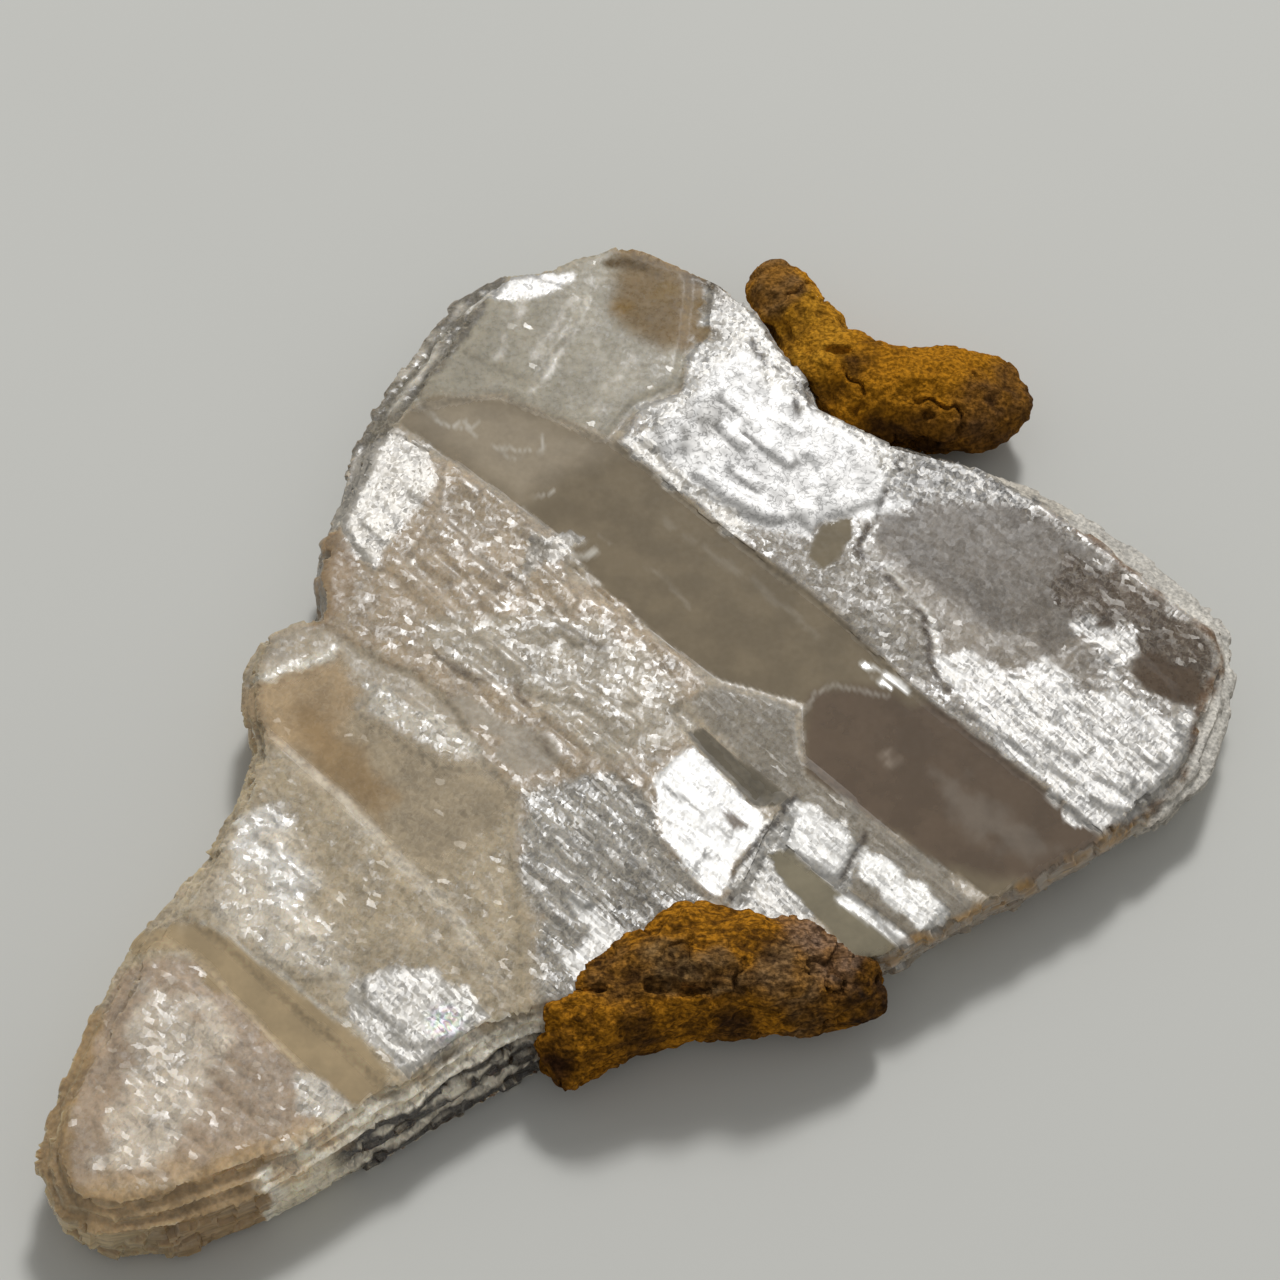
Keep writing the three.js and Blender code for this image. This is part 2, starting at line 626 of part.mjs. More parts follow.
// ---- The specimen ----------------------------------------------------------------------------

const calcite = new THREE.MeshStandardMaterial({ color: 0xb9aa92, roughness: 0.28, metalness: 0.0 });
const ironOxide = new THREE.MeshStandardMaterial({ color: 0x9a5f1c, roughness: 0.92, metalness: 0.0 });

function piece(name, solid, material) {
  const mesh = new THREE.Mesh(geometryOf(solid), material);
  mesh.name = name;
  return mesh;
}

const keepClear = crystalWithClearance();
const specimen = new THREE.Group();
specimen.add(
  piece("calcite_crystal", calciteCrystal(), calcite),
  piece("far_iron_oxide_lump", ironOxideLump(FAR_LUMP, keepClear), ironOxide),
  piece("near_iron_oxide_lump", ironOxideLump(NEAR_LUMP, keepClear), ironOxide),
);

const box = new THREE.Box3().setFromObject(specimen);
const centre = box.getCenter(new THREE.Vector3());
specimen.position.set(-centre.x, -centre.y, -box.min.z);

const root = new THREE.Group();
root.add(specimen);
export default root;
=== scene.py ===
"""Looks of a calcite crystal that carries two lumps of rusty iron oxide.

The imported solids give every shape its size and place. Each one is copied as a fine mesh, and its
cleavage, crust and pits are pressed into that mesh. The faces are then painted with masks that follow
named outlines, which the procedural finishes read.

Outlines are in millimetres, in the plate's own drawing axes: +X across the plate, +Y to its far edge.
"""

import itertools
import logging
import math
from collections.abc import Sequence
from dataclasses import dataclass
from enum import Enum
from functools import cache

import bpy
import numpy as np
from mathutils import Matrix, Vector
from mathutils.bvhtree import BVHTree
from numpy.typing import NDArray


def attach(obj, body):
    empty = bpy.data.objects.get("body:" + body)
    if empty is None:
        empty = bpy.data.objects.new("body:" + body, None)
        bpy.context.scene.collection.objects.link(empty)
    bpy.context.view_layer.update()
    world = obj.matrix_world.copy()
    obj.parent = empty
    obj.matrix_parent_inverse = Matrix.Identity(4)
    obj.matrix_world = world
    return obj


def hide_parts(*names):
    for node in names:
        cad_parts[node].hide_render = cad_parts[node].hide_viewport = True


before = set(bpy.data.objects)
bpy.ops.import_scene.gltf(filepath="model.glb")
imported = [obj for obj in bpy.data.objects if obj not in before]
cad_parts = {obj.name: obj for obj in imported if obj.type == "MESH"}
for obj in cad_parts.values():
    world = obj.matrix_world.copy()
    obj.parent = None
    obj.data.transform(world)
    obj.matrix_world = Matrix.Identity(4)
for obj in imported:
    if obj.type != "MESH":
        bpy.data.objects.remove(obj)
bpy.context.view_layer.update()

Numbers = NDArray[np.float64]
Whole = NDArray[np.int64]
Outline = Sequence[tuple[float, float]]
log = logging.getLogger("calcite_crystal")

MM = 0.001
PLAN_ORIGIN = np.array([-1.218, 2.893, 0.0])  # mm in the frame, where the drawing axes meet
BAND_ANGLE = math.radians(-43)  # the way the growth bands run
CROSS_ANGLE = math.radians(62)  # the way the cross cleavage runs
SHARP_ANGLE = math.radians(28)  # faces that meet at more than this keep a sharp edge

# Split sheets too fine for the mesh lean one way, on a shallow dish: their slope at the middle of the
# plan, and how it changes per millimetre.
FLASH_SLOPE = np.array([-0.083, -0.090])
FLASH_BOW = np.array([0.0044, 0.0030])


class Grain(Enum):
    """How a cleavage face is broken up. The value is the mask channel that holds it."""

    STREAKS = 0  # long narrow steps along the growth bands
    FLAKES = 1  # small tilted facets, as in broken sugar
    CRUMPLE = 2  # shallow dents, as in foil
    CROSS_STREAKS = 3  # long narrow steps along the cross cleavage


class Finish(Enum):
    """What a face of the crystal is made of. The value is its material slot."""

    CLEAR = 0
    MILKY = 1
    PEARLY = 2
    CRUST = 3


# ---- Noise and outlines ----------------------------------------------------------------------

CELL_PRIMES = (73856093, 19349663, 83492791)  # one for each axis of a cell
SEED_PRIME = 2654435761
MIXING_FACTOR = 0xFF51AFD7ED558CCD
MIXING_SHIFTS = (33, 29)


def hashed(cells: Whole, seed: int) -> Numbers:
    """Gives each cell a number that only depends on the cell and the seed.

    Args:
        cells: Whole-number coordinates, one row for each cell.
        seed: Picks one of many sets of numbers.

    Returns:
        A number from 0 to 1 for each row.
    """
    primes = np.array(CELL_PRIMES[: cells.shape[1]], dtype=np.uint64)
    mixed = (cells.astype(np.uint64) * primes).sum(axis=1) + np.uint64(seed * SEED_PRIME)
    for shift in MIXING_SHIFTS:
        mixed = (mixed ^ (mixed >> np.uint64(shift))) * np.uint64(MIXING_FACTOR)
    return (mixed >> np.uint64(40)).astype(np.float64) / 2**24


def noise(points: Numbers, size: float | Sequence[float], seed: int) -> Numbers:
    """Smooth noise in space.

    Args:
        points: Places in millimetres, one row each.
        size: Width of one bump, the same each way or along each axis.
        seed: Picks one of many patterns.

    Returns:
        A number from -1 to 1 for each point.
    """
    grid = points / np.asarray(size, dtype=float)
    cell = np.floor(grid)
    share = grid - cell
    share = share * share * (3 - 2 * share)
    total = np.zeros(len(points))
    for corner in itertools.product((0, 1), repeat=points.shape[1]):
        weight = np.prod(np.where(np.array(corner) == 1, share, 1 - share), axis=1)
        total += weight * hashed((cell + np.array(corner)).astype(np.int64), seed)
    return 2 * total - 1


def rough_noise(points: Numbers, size: float, seed: int, octaves: int = 3) -> Numbers:
    """Noise with finer noise on it, each octave half as large and half as high as the last."""
    return sum(noise(points, size / 2**k, seed + k) / 2**k for k in range(octaves))


def turned(points: Numbers, angle: float) -> Numbers:
    """Plan coordinates along a direction and across it.

    Args:
        points: Places in millimetres; only x and y are read.
        angle: The direction, in radians from +X.

    Returns:
        Two columns: how far along the direction, and how far to its left.
    """
    x, y = points[:, 0], points[:, 1]
    cos, sin = math.cos(angle), math.sin(angle)
    return np.stack([x * cos + y * sin, y * cos - x * sin], axis=1)


@dataclass(frozen=True)
class Facets:
    """Steps that split a face into small tilted planes, one to each cell of a jittered grid."""

    length: float
    width: float
    tilt: tuple[float, float]  # the greatest slope along the direction and across it
    step: float
    seed: int
    angle: float = BAND_ANGLE

    def nearest(self, points: Numbers) -> tuple[Numbers, Whole]:
        """The facet under each point.

        Args:
            points: Places in millimetres.

        Returns:
            How far each point lies from its facet's middle, along and across, and the facet's cell.
        """
        size = np.array([self.length, self.width])
        grid = turned(points, self.angle) / size
        home = np.floor(grid).astype(np.int64)
        least = np.full(len(points), np.inf)
        away, found = np.zeros_like(grid), np.zeros_like(home)
        for offset in itertools.product((-1, 0, 1), repeat=2):
            cell = home + np.array(offset)
            jitter = np.stack([hashed(cell, self.seed), hashed(cell, self.seed + 1)], axis=1)
            apart = grid - cell - jitter
            distance = (apart**2).sum(axis=1)
            closer = distance < least
            least[closer] = distance[closer]
            away[closer], found[closer] = (apart * size)[closer], cell[closer]
        return away, found

    def relief(self, points: Numbers, amount: Numbers) -> Numbers:
        """Height of the facets in millimetres.

        Args:
            points: Places in millimetres.
            amount: How strongly the facets tilt and step at each place, from 0 to 1.
        """
        away, cell = self.nearest(points)
        chance = np.stack([hashed(cell, self.seed + k) for k in (2, 3, 4)], axis=1)
        slope = (2 * chance[:, :2] - 1) * np.array(self.tilt)
        return amount * ((slope * away).sum(axis=1) + self.step * (2 * chance[:, 2] - 1))


def edge_distance(points: Numbers, outline: Outline, closed: bool = True) -> Numbers:
    """Distance in plan from each point to the nearest edge of an outline or line, in millimetres."""
    ends = np.array(outline, dtype=float)
    starts = ends if closed else ends[:-1]
    stops = np.roll(ends, -1, axis=0) if closed else ends[1:]
    best = np.full(len(points), np.inf)
    for start, stop in zip(starts, stops):
        edge = stop - start
        away = points[:, :2] - start
        share = np.clip(away @ edge / (edge @ edge), 0, 1)
        gap = away - share[:, None] * edge
        best = np.minimum(best, np.hypot(gap[:, 0], gap[:, 1]))
    return best


def inside(points: Numbers, outline: Outline) -> NDArray[np.bool_]:
    """Whether each point lies inside an outline in plan."""
    x, y = points[:, 0], points[:, 1]
    result = np.zeros(len(points), dtype=bool)
    for (ax, ay), (bx, by) in zip(outline, [*outline[1:], outline[0]]):
        if ay != by:
            crosses = ((ay > y) != (by > y)) & (x < ax + (bx - ax) * (y - ay) / (by - ay))
            result ^= crosses
    return result


def smooth_step(values: Numbers, low: float, high: float) -> Numbers:
    """0 below low, 1 above high, and an even S between them."""
    share = np.clip((values - low) / (high - low), 0, 1)
    return share * share * (3 - 2 * share)


def round_spot(points: Numbers, spot: tuple[float, float, float]) -> Numbers:
    """1 in the middle of a round spot in plan, falling to 0 at its reach.

    Args:
        points: Places in millimetres.
        spot: The x and y of its middle, and its reach.
    """
    x, y, reach = spot
    return 1 - smooth_step(np.hypot(points[:, 0] - x, points[:, 1] - y), 0, reach)


def linear(code: str) -> Numbers:
    """The linear colour of a hex code such as "a08c6e"."""
    values = np.array([int(code[i : i + 2], 16) for i in (0, 2, 4)]) / 255
    return np.where(values <= 0.04045, values / 12.92, ((values + 0.055) / 1.055) ** 2.4)


def tint(tones: Numbers, code: str, weight: Numbers) -> None:
    """Takes each tone towards a hex code, by a weight from 0 to 1."""
    tones += weight[:, None] * (linear(code) - tones)


@dataclass(frozen=True)
class Zone:
    """A patch of the crystal's upper side with a look of its own.

    Zones are painted in order, so a later one covers what lies under it.
    """

    tone: str
    outline: Outline
    finish: Finish = Finish.MILKY
    grain: Grain = Grain.FLAKES
    relief: float = 0.5  # how strongly its grain shows
    flashes: float = 0.0  # share of its small flakes that lean with the split sheets
    facing: float = 0.0  # how far all the rest leans with them
    frost: float = 0.35  # how dull its faces are
    soft: float = 0.3  # width of its border
    ragged: float = 0.25  # how far that border wanders

    def weight(self, points: Numbers, wander: Numbers) -> Numbers:
        """1 inside the zone, 0 outside, with a soft ragged border."""
        low, high = np.min(self.outline, axis=0) - 1, np.max(self.outline, axis=0) + 1
        near = ((points[:, :2] > low) & (points[:, :2] < high)).all(axis=1)
        result = np.zeros(len(points))
        distance = edge_distance(points[near], self.outline)
        signed = np.where(inside(points[near], self.outline), distance, -distance)
        result[near] = smooth_step(signed + self.ragged * wander[near], -self.soft / 2, self.soft / 2)
        return result


def pearly(tone: str, outline: Outline, **looks: object) -> Zone:
    """A zone of split sheets that throw the light back."""
    return Zone(tone, outline, Finish.PEARLY, **looks)


def streaked(tone: str, outline: Outline, **looks: object) -> Zone:
    """A pearly zone that is broken into streaks along the growth bands."""
    return pearly(tone, outline, grain=Grain.STREAKS, **looks)


def clear(tone: str, outline: Outline, relief: float = 0, frost: float = 0.1, **looks: object) -> Zone:
    """A smooth zone that lets light through."""
    return Zone(tone, outline, Finish.CLEAR, relief=relief, frost=frost, facing=-0.9, **looks)




# ---- The crystal's zones ---------------------------------------------------------------------

# Between the clear band and the slab beyond it.
SLAB_BORDER = [(-1.2, 11.7), (3.1, 7.7), (7.6, 3.8), (10.5, 1), (13.2, -2.3), (17.6, -6.3), (22.7, -10.7)]
# Where the slab meets the top corner.
SLAB_CORNER = [(0, 13.9), (2.1, 14.8), (2.5, 17.1), (3.5, 18.5), (3.7, 22.6)]
# The near side of the brown oval.
OVAL_BORDER = [(8.1, -7.5), (11.2, -9.9), (14.3, -12.2)]
# The plate's right edge.
RIGHT_EDGE = [(22.5, 6.8), (24.4, 5), (26.3, 2.9), (28.2, 1.2), (28.9, 0.3), (29.2, -0.6), (29.1, -1.2),
              (28, -3.2), (27.4, -4.8)]
# The near end of that edge.
RIGHT_CORNER = [(27.1, -6), (26.6, -7.3), (25.4, -8.7), (23.8, -9.8)]

ZONES = {
    "far_corner": Zone("a59d8a", [(-13.6, 11.4), (-12, 13.9), (-7.2, 14.8), (-4.4, 13.4), (-1.8, 12.2),
        (0.2, 14.4), (2.2, 15.2), (2.6, 17.6), (3.8, 20), (4, 27), (-12, 26), (-18, 12)], relief=0.2,
        flashes=0.015, facing=-0.8),
    "top_corner": Zone("866e47", [(-1.7, 25.8), (-1, 22.9), (-1.6, 21.3), (-1, 19.2), (1.1, 17.9),
        (3.5, 17.2), (4.5, 19.2), (4.6, 22.5), (2.2, 25)], relief=0.15, soft=1.4, facing=-1.8),
    "far_left_side": Zone("6d6658", [(-18, 11), (-13.6, 11.6), (-12.5, 13.2), (-11.5, 14.7),
        (-10.5, 16.3), (-9, 18.2), (-8, 20.8), (-7.2, 21.5), (-7, 24), (-12, 24)],
        grain=Grain.CROSS_STREAKS, flashes=0.05, facing=-0.4),
    "corner_patch": pearly("c9c6c0", [(-8.5, 22), (-7.9, 20.8), (-6.2, 20.9), (-5, 21.2), (-3.6, 22.3),
        (-5.4, 22.9)], relief=0.6, facing=0.85),
    "olive_band": clear("7f725c", [(-12.6, 13), (-8.2, 9.4), (-5.6, 7.3), (-4.1, 5.9), (-1.5, 2.7),
        (1.6, -0.5), (3.6, -2.1), (5.9, -2.9), (8.2, -3.5), (7.9, -5), *OVAL_BORDER, (18, -15), (24, -11.8),
        *SLAB_BORDER[::-1], (-4.2, 12.9), (-7.3, 14.4), (-10.8, 14.6)], soft=0.2, ragged=0.1),
    "grey_band_end": clear("9f927d", [(-12.4, 13), (-8.2, 9.6), (-6, 8.2), (-3.6, 10.2), (-1.6, 11.6),
        (-4.2, 12.7), (-7.3, 14.2), (-10.8, 14.4)], relief=0.02, frost=0.15, soft=2.4),
    "brown_oval": clear("665646", [(8, -6), (8.1, -4.4), (8.6, -2.9), (10.3, -2.5), (12.5, -2.9),
        (13.2, -3.4), (14.9, -3.4), (17.5, -5.8), (22.2, -10.4), (23, -12.5), (19.5, -13.4), (17.1, -12.9),
        *OVAL_BORDER[::-1]], soft=0.9, ragged=0.2),
    "oval_cloud": clear("786c5f", [(14.4, -7.6), (15.6, -8), (17.8, -9.6), (20.8, -11.8), (18.6, -12.2),
        (16.4, -10.8), (14.8, -9.2)], soft=1.2, ragged=0.7),
    "bar": Zone("877d6c", [(3.6, -2.6), (5.9, -3.1), (7.8, -3.8), (7.9, -6.6), *OVAL_BORDER, (17, -15.8),
        (13.8, -18), (7.9, -10.9), (2.4, -3.4)], grain=Grain.STREAKS, relief=0.3, flashes=0.02,
        facing=-0.6),
    "slab": Zone("938b80", [*SLAB_BORDER, (34, -12), (34, 14), (8, 26), *SLAB_CORNER[::-1]], relief=0.6,
        flashes=0.12, facing=-0.1, soft=0.15, ragged=0.1),
    "slab_foil": pearly("d0cdc8", [(-0.4, 11.6), (3.1, 7.8), (6.4, 6.4), (8.7, 6.2), (9.2, 6.8),
        (10.8, 7.3), (12.8, 7.5), (14.7, 8.2), (17.2, 8.6), (19.3, 8), (21, 9), (13, 14), (8, 22),
        (5.2, 22.4), (4.7, 19.6), (4.1, 17.4), (3.2, 15.6), (2.2, 13.9), (0.9, 12.7)],
        grain=Grain.CRUMPLE, relief=0.85, facing=0.04, ragged=0.3),
    "foil_shards": pearly("c8c4bc", [*SLAB_CORNER, (6, 24), (9, 21), (13, 14), (21, 9), (19.3, 7.7),
        (14.5, 8.6), (12.6, 9.4), (11.6, 11.6), (9.6, 13.4), (7.2, 15), (5.4, 17.6), (3.8, 16.4),
        (2.8, 14.4), (0.6, 12.6)], relief=1, facing=0.15, soft=0.6, ragged=0.5),
    "slab_end": pearly("6c665d", [(13.6, 12.2), (12.6, 8.6), (14.7, 7.8), (17.2, 8.3), (19.3, 7.7),
        (22, 8.6), (17, 12.6)], relief=0.8, facing=-0.9, ragged=0.4),
    "slab_strip": Zone("887f71", [(3.6, 7.7), (6.4, 6.4), (8.7, 5.8), (11.5, 5.8), (12.8, 3.3),
        (14.3, 1.7), (14.8, -1.7), (14.1, -2.6), (11.2, 0.2), (8.3, 3.5)], flashes=0.03, facing=-0.6),
    "slab_border": pearly("b5afa4", [(-1.3, 11.9), (3, 7.8), (5.2, 5.9), (5.7, 6.8), (3.6, 8.7),
        (1.6, 10.4), (-0.2, 12.6)], relief=1, facing=0.5, ragged=0.3, flashes=0.25),
    "clear_lobe": clear("80745d", [(8.8, 6), (9.2, 6.9), (10.8, 7.3), (10.8, 6), (10.2, 4.9), (9.3, 4.2),
        (8.6, 4.9)], soft=0.25, ragged=0.1),
    "silk": Zone("867a69", [(11.5, 5.8), (12.8, 7.4), (17.7, 8.1), (19.5, 7.5), (22.3, 5.6), (25.5, 3.1),
        (28.8, -0.1), (27.7, -1.5), (25.5, 1.1), (23.1, 1.1), (22.8, -2.5), (20.1, -1.3), (18, -2.1),
        (15, -1.9), (15.1, 1.1), (12.8, 3.3)], relief=0.3, flashes=0.02, facing=-0.5, frost=0.4, soft=1,
        ragged=0.5),
    "silk_dark": Zone("665b4c", [(11.8, 5.6), (12.6, 7.6), (16, 8.2), (19.6, 7.8), (21.8, 6.6),
        (23.6, 4.4), (22.8, 1), (20.8, -0.2), (17, 1.6), (14.2, 3.6)], relief=0.2, facing=-1, frost=0.4,
        soft=1, ragged=0.6),
    "right_dark": Zone("5f5142", [(21.4, 5.2), (23.6, 4.4), (25.5, 3.1), (28.6, -0.1), (28.4, -2.9),
        (27.5, -3.8), (25.8, -2.9), (25.3, -0.9), (24.8, 1), (23.3, 1), (21.4, 1.6), (20.6, 3.4)],
        flashes=0.16, facing=-1.6, ragged=0.4),
    "right_bright": streaked("c6c2bb", [(14.6, -1), (16.6, -0.9), (18.4, -1.8), (20.1, -1.5),
        (22.3, -2.9), (23.2, -2.6), (22.9, -0.4), (21.8, 1.1), (23.3, 0.7), (24.6, 0.9), (24.6, -0.6),
        (23.9, -1), (24.1, -2.9), (25.7, -4.8), (27.5, -3.8), (26.9, -6.5), (25.4, -8.6), (22.8, -10.7),
        (21.4, -10.1), (17.5, -5.8)], relief=0.75, facing=0.35, ragged=0.5),
    "right_hollow": Zone("5c4a36", [(24.7, -1), (26, -0.5), (27.8, -1.5), (28, -2.9), (27.3, -3.8),
        (25.5, -2.9), (24.5, -1.7)], relief=0.1, soft=0.4, facing=-2),
    "grainy_middle": Zone("a08d72", [(-13.2, 12.4), (-8.2, 9.3), (-5.6, 7.1), (-4.1, 5.7), (-3.6, 3.6),
        (-1.2, 2.3), (1.6, -0.7), (3.4, -2.4), (1.6, -4), (2.6, -6), (5.4, -9.6), (4.4, -14.5), (3.6, -22),
        (-5.2, -24), (-5.6, -16), (-6.2, -11.6), (-5.9, -9.2), (-7.6, -6.8), (-9, -4.2), (-11, -2.2),
        (-13.9, -0.6), (-17.5, 1.2), (-18, 8)], flashes=0.06, facing=-0.02, ragged=0.35),
    "middle_flakes": Zone("a0947f", [(-10.9, 0.9), (-5, 1.5), (-2.1, 0.9), (1.1, -1.6), (2.8, -5.2),
        (0.9, -6.8), (-1.7, -6.8), (-4.9, -3.6), (-7.8, -2.2), (-10.7, -0.7)], flashes=0.09, facing=-0.02,
        soft=1.2, ragged=0.6),
    "glitter_corner": pearly("bdb5a7", [(-12.9, 12.4), (-11, 11.4), (-10.3, 9.4), (-12, 6.5), (-13.4, 4),
        (-14.9, 5.1), (-16, 6.5), (-15.6, 9.4), (-14.6, 11.8)], relief=0.9, facing=0.75, soft=0.5),
    "chips": pearly("a0988a", [(-5.6, 6), (-4.6, 5.9), (-3.5, 6.2), (-2.7, 5.8), (-3.5, 5), (-4.2, 4.4),
        (-5, 4.4), (-5.6, 3.2), (-5.9, 4.2)], relief=0.8, facing=-0.1, soft=0.5),
    "notch": Zone("9a8160", [(-15.6, 6.7), (-14.1, 4.1), (-14.8, 1.7), (-16.4, 0.4), (-18, 4)],
        relief=0.3, flashes=0.03, soft=0.6),
    "grey_flakes": Zone("8a8479", [(-5.9, -8.5), (-1.7, -7.6), (0.7, -9.3), (1.7, -12.4), (4.3, -14.9),
        (3, -20), (-4, -22), (-5.8, -18), (-5, -15.2), (-6, -14.5), (-6, -11.5)], grain=Grain.STREAKS,
        relief=0.8, flashes=0.14, soft=0.7, ragged=0.5),
    "bright_strokes": streaked("c6c2b9", [(-3.6, -14.1), (-2.7, -14), (-0.8, -16.4), (-1, -17.2),
        (-2.4, -18.8), (-3.7, -17.5), (-2.2, -16.4)], relief=0.6, facing=0.5),
    "pale_smooth": Zone("a39681", [(-9.7, -3.6), (-8.1, -3.2), (-7, -4.6), (-4.2, -5.6), (-3.8, -7),
        (-5.9, -7.8), (-7, -6.8), (-6.7, -5.6), (-9, -5)], relief=0.08, frost=0.25, soft=0.4),
    "block_ground": streaked("b9b4aa", [(4.6, -12.6), (5.9, -10), (7.4, -9), (8.7, -9.4), (10.7, -11.6),
        (9.6, -13.8), (8.4, -15.2), (6.4, -16.2), (4, -15.6)], relief=0.8, facing=0.4, soft=0.4,
        ragged=0.4),
    "block": streaked("dcdad5", [(0.7, -7.9), (1.6, -6.7), (2.6, -6.1), (4, -7.6), (6, -9.9),
        (5.8, -10.8), (4.6, -12.3), (3.8, -14.2), (2.9, -13.6), (2, -12.3), (1.1, -11)], facing=0.75,
        soft=0.2, ragged=0.12),
    "block_hole": Zone("766654", [(3.9, -9.5), (4.7, -9.9), (5.3, -10.5), (4.5, -10.7)], relief=0.1,
        soft=0.15, ragged=0.05),
    "strip": clear("6c6454", [(2.2, -5.2), (3.1, -5), (4.6, -6.5), (7.3, -8.8), (6.7, -9.3), (5.7, -9.4),
        (4, -7.6)], frost=0.12, soft=0.12, ragged=0.03),
    "second_block": streaked("d2cfc8", [(7.6, -8.9), (8.4, -9.2), (10.4, -11.5), (9.1, -13.8),
        (7.1, -12.1), (6.8, -11.1)], facing=0.25, soft=0.2),
    "third_block": streaked("cbc8c0", [(10.5, -12), (11.6, -11.8), (13.3, -13.4), (14.7, -14.9),
        (14.4, -16.1), (13.2, -15.9), (12.1, -14.6), (10.5, -13)], relief=0.6, facing=0.6),
    "strip_end": clear("8f866f", [(6.2, -11.8), (7.1, -11.6), (9.7, -14), (12.9, -16.8), (12, -17.8),
        (10.6, -17.6), (8.5, -15.3), (6.6, -13)], relief=0.02, frost=0.12, soft=0.12, ragged=0.03),
    "bright_edge": streaked("d2cfc8", [(9.3, -14.2), (10, -13.9), (12.8, -16.2), (13.4, -17.2),
        (12.6, -17)], facing=0.95, soft=0.2, ragged=0.1),
    "tip_side": Zone("b0a084", [(-24, -12), (-16.2, -2.2), (-13.9, -4.4), (-9.6, -6.9), (-6, -8.6),
        (-6.2, -12), (-4.9, -16), (-4.8, -24), (-14, -34), (-31, -34), (-31, -14)], flashes=0.05,
        facing=-0.2, soft=1.2),
    "honey_left": clear("b79e7b", [(-21.5, -3), (-17.1, -1.9), (-14.9, -1.2), (-13.8, -3), (-14.7, -6),
        (-15.7, -8.4), (-18.4, -5.4), (-21, -4.6)], relief=0.3, frost=0.25, soft=1.2, flashes=0.015),
    "honey_hollow": clear("aa9a80", [(-15.7, -5.6), (-13.7, -4.8), (-11.4, -6), (-10, -6.8), (-7.9, -7.4),
        (-6.1, -8.2), (-6.9, -10.7), (-7.9, -11.5), (-9.3, -12.6), (-10.4, -12.9), (-12.6, -11.2),
        (-15.7, -8.4), (-17, -7)], relief=0.35, frost=0.25, soft=1.6, ragged=0.5, flashes=0.01),
    "amber_edge": clear("a18762", [(-17.4, -4.2), (-15.8, -4.2), (-13.6, -6.6), (-11.8, -8.6),
        (-12.6, -10.2), (-15.6, -7.8)], relief=0.15, frost=0.25, soft=1.4, ragged=0.4),
    "tongue": Zone("bbb2a1", [(-13.6, -2.8), (-12.5, -2.8), (-10.1, -4.4), (-7.9, -5.8), (-7.7, -6.9),
        (-9.8, -6.4), (-11.6, -5.3), (-13.4, -4.1)], relief=0.7, flashes=0.14, soft=0.2, ragged=0.35),
    "white_shelf": Zone("c4bcab", [(-19.5, -2.3), (-15, -0.5), (-15.2, -1.3), (-16.9, -1.8),
        (-18.7, -2.8)], relief=0.7, flashes=0.23, facing=0.12),
    "frosted_sheet": Zone("d0c5b2", [(-20.4, -13.8), (-19.4, -11), (-18.2, -9.9), (-16.8, -10.6),
        (-15.6, -13.1), (-15.5, -14.8), (-14.4, -18), (-16.2, -18.6), (-18.8, -16.4), (-20.8, -14.8)],
        relief=0.7, flashes=0.12, facing=0.1, soft=1.6, ragged=0.7),
    "sheet_glint": Zone("cdc7bc", [(-19.6, -10.4), (-17.5, -9.6), (-16.9, -10.4), (-18.2, -11.4),
        (-16.6, -11.9), (-15.8, -13.1), (-15.8, -14.5), (-17.2, -15), (-18, -13.2), (-19.5, -12.1)],
        relief=0.6, flashes=0.28, facing=0.3, soft=0.8, ragged=0.5),
    "comb": streaked("c9c3b8", [(-14, -19.6), (-12.8, -18.4), (-11.2, -17.8), (-9.8, -18.2),
        (-8.2, -19.2), (-7, -20.5), (-8.4, -21.6), (-9.5, -22.7), (-11, -23.1), (-12.6, -21.7)],
        relief=0.85, facing=0.5, soft=0.4),
    "groove": clear("b6a07c", [(-24.4, -15.9), (-20.9, -15.7), (-19.6, -16.5), (-16.2, -19.2),
        (-13.1, -21.6), (-11.7, -23.3), (-11.9, -24.6), (-12.8, -25), (-15.8, -23.2), (-18.4, -20.8),
        (-20.4, -19), (-21.2, -17.2), (-22.4, -17.1), (-24, -17)], frost=0.15, soft=0.25, ragged=0.08),
    "tip": Zone("ad977e", [(-24.6, -18), (-21.4, -17.7), (-18.4, -20.6), (-15.8, -23.3), (-13.4, -24.8),
        (-15.4, -26.2), (-18.2, -28.2), (-21.3, -28.8), (-26.2, -29.5), (-26.4, -23.5)], relief=0.35,
        flashes=0.06, facing=0.1, soft=0.5),
    "tip_glint": Zone("cbbda9", [(-23.1, -19.1), (-20.7, -19.8), (-19.6, -21.8), (-20.2, -25.1),
        (-21.6, -28.4), (-23.7, -28.4), (-24.8, -27.5), (-23.6, -25.1), (-23.6, -21.8)], relief=0.6,
        flashes=0.16, facing=0.16, soft=1.2, ragged=0.8),
    "tip_chunk": Zone("cbc2b3", [(-16, -23.5), (-15.1, -23.2), (-13.4, -24.8), (-13, -25.3),
        (-14.3, -25.9), (-15.7, -25.1)], relief=0.8, flashes=0.25, facing=0.12, soft=0.4),
    "honey_tip": Zone("a3875f", [(-28.5, -20), (-25.2, -19.8), (-25.6, -23.5), (-26, -27), (-25.7, -28.9),
        (-23.5, -28.9), (-21.3, -28.9), (-18.4, -27.2), (-15.4, -26.3), (-14.4, -27.4), (-20.9, -32),
        (-28, -32), (-30, -26)], grain=Grain.STREAKS, relief=0.25, facing=0.04, frost=0.25, soft=0.5),
    "near_ledge": Zone("e8dfcc", [(-13.5, -24.9), (-11.9, -24.5), (-10.2, -23.5), (-9.4, -22.6),
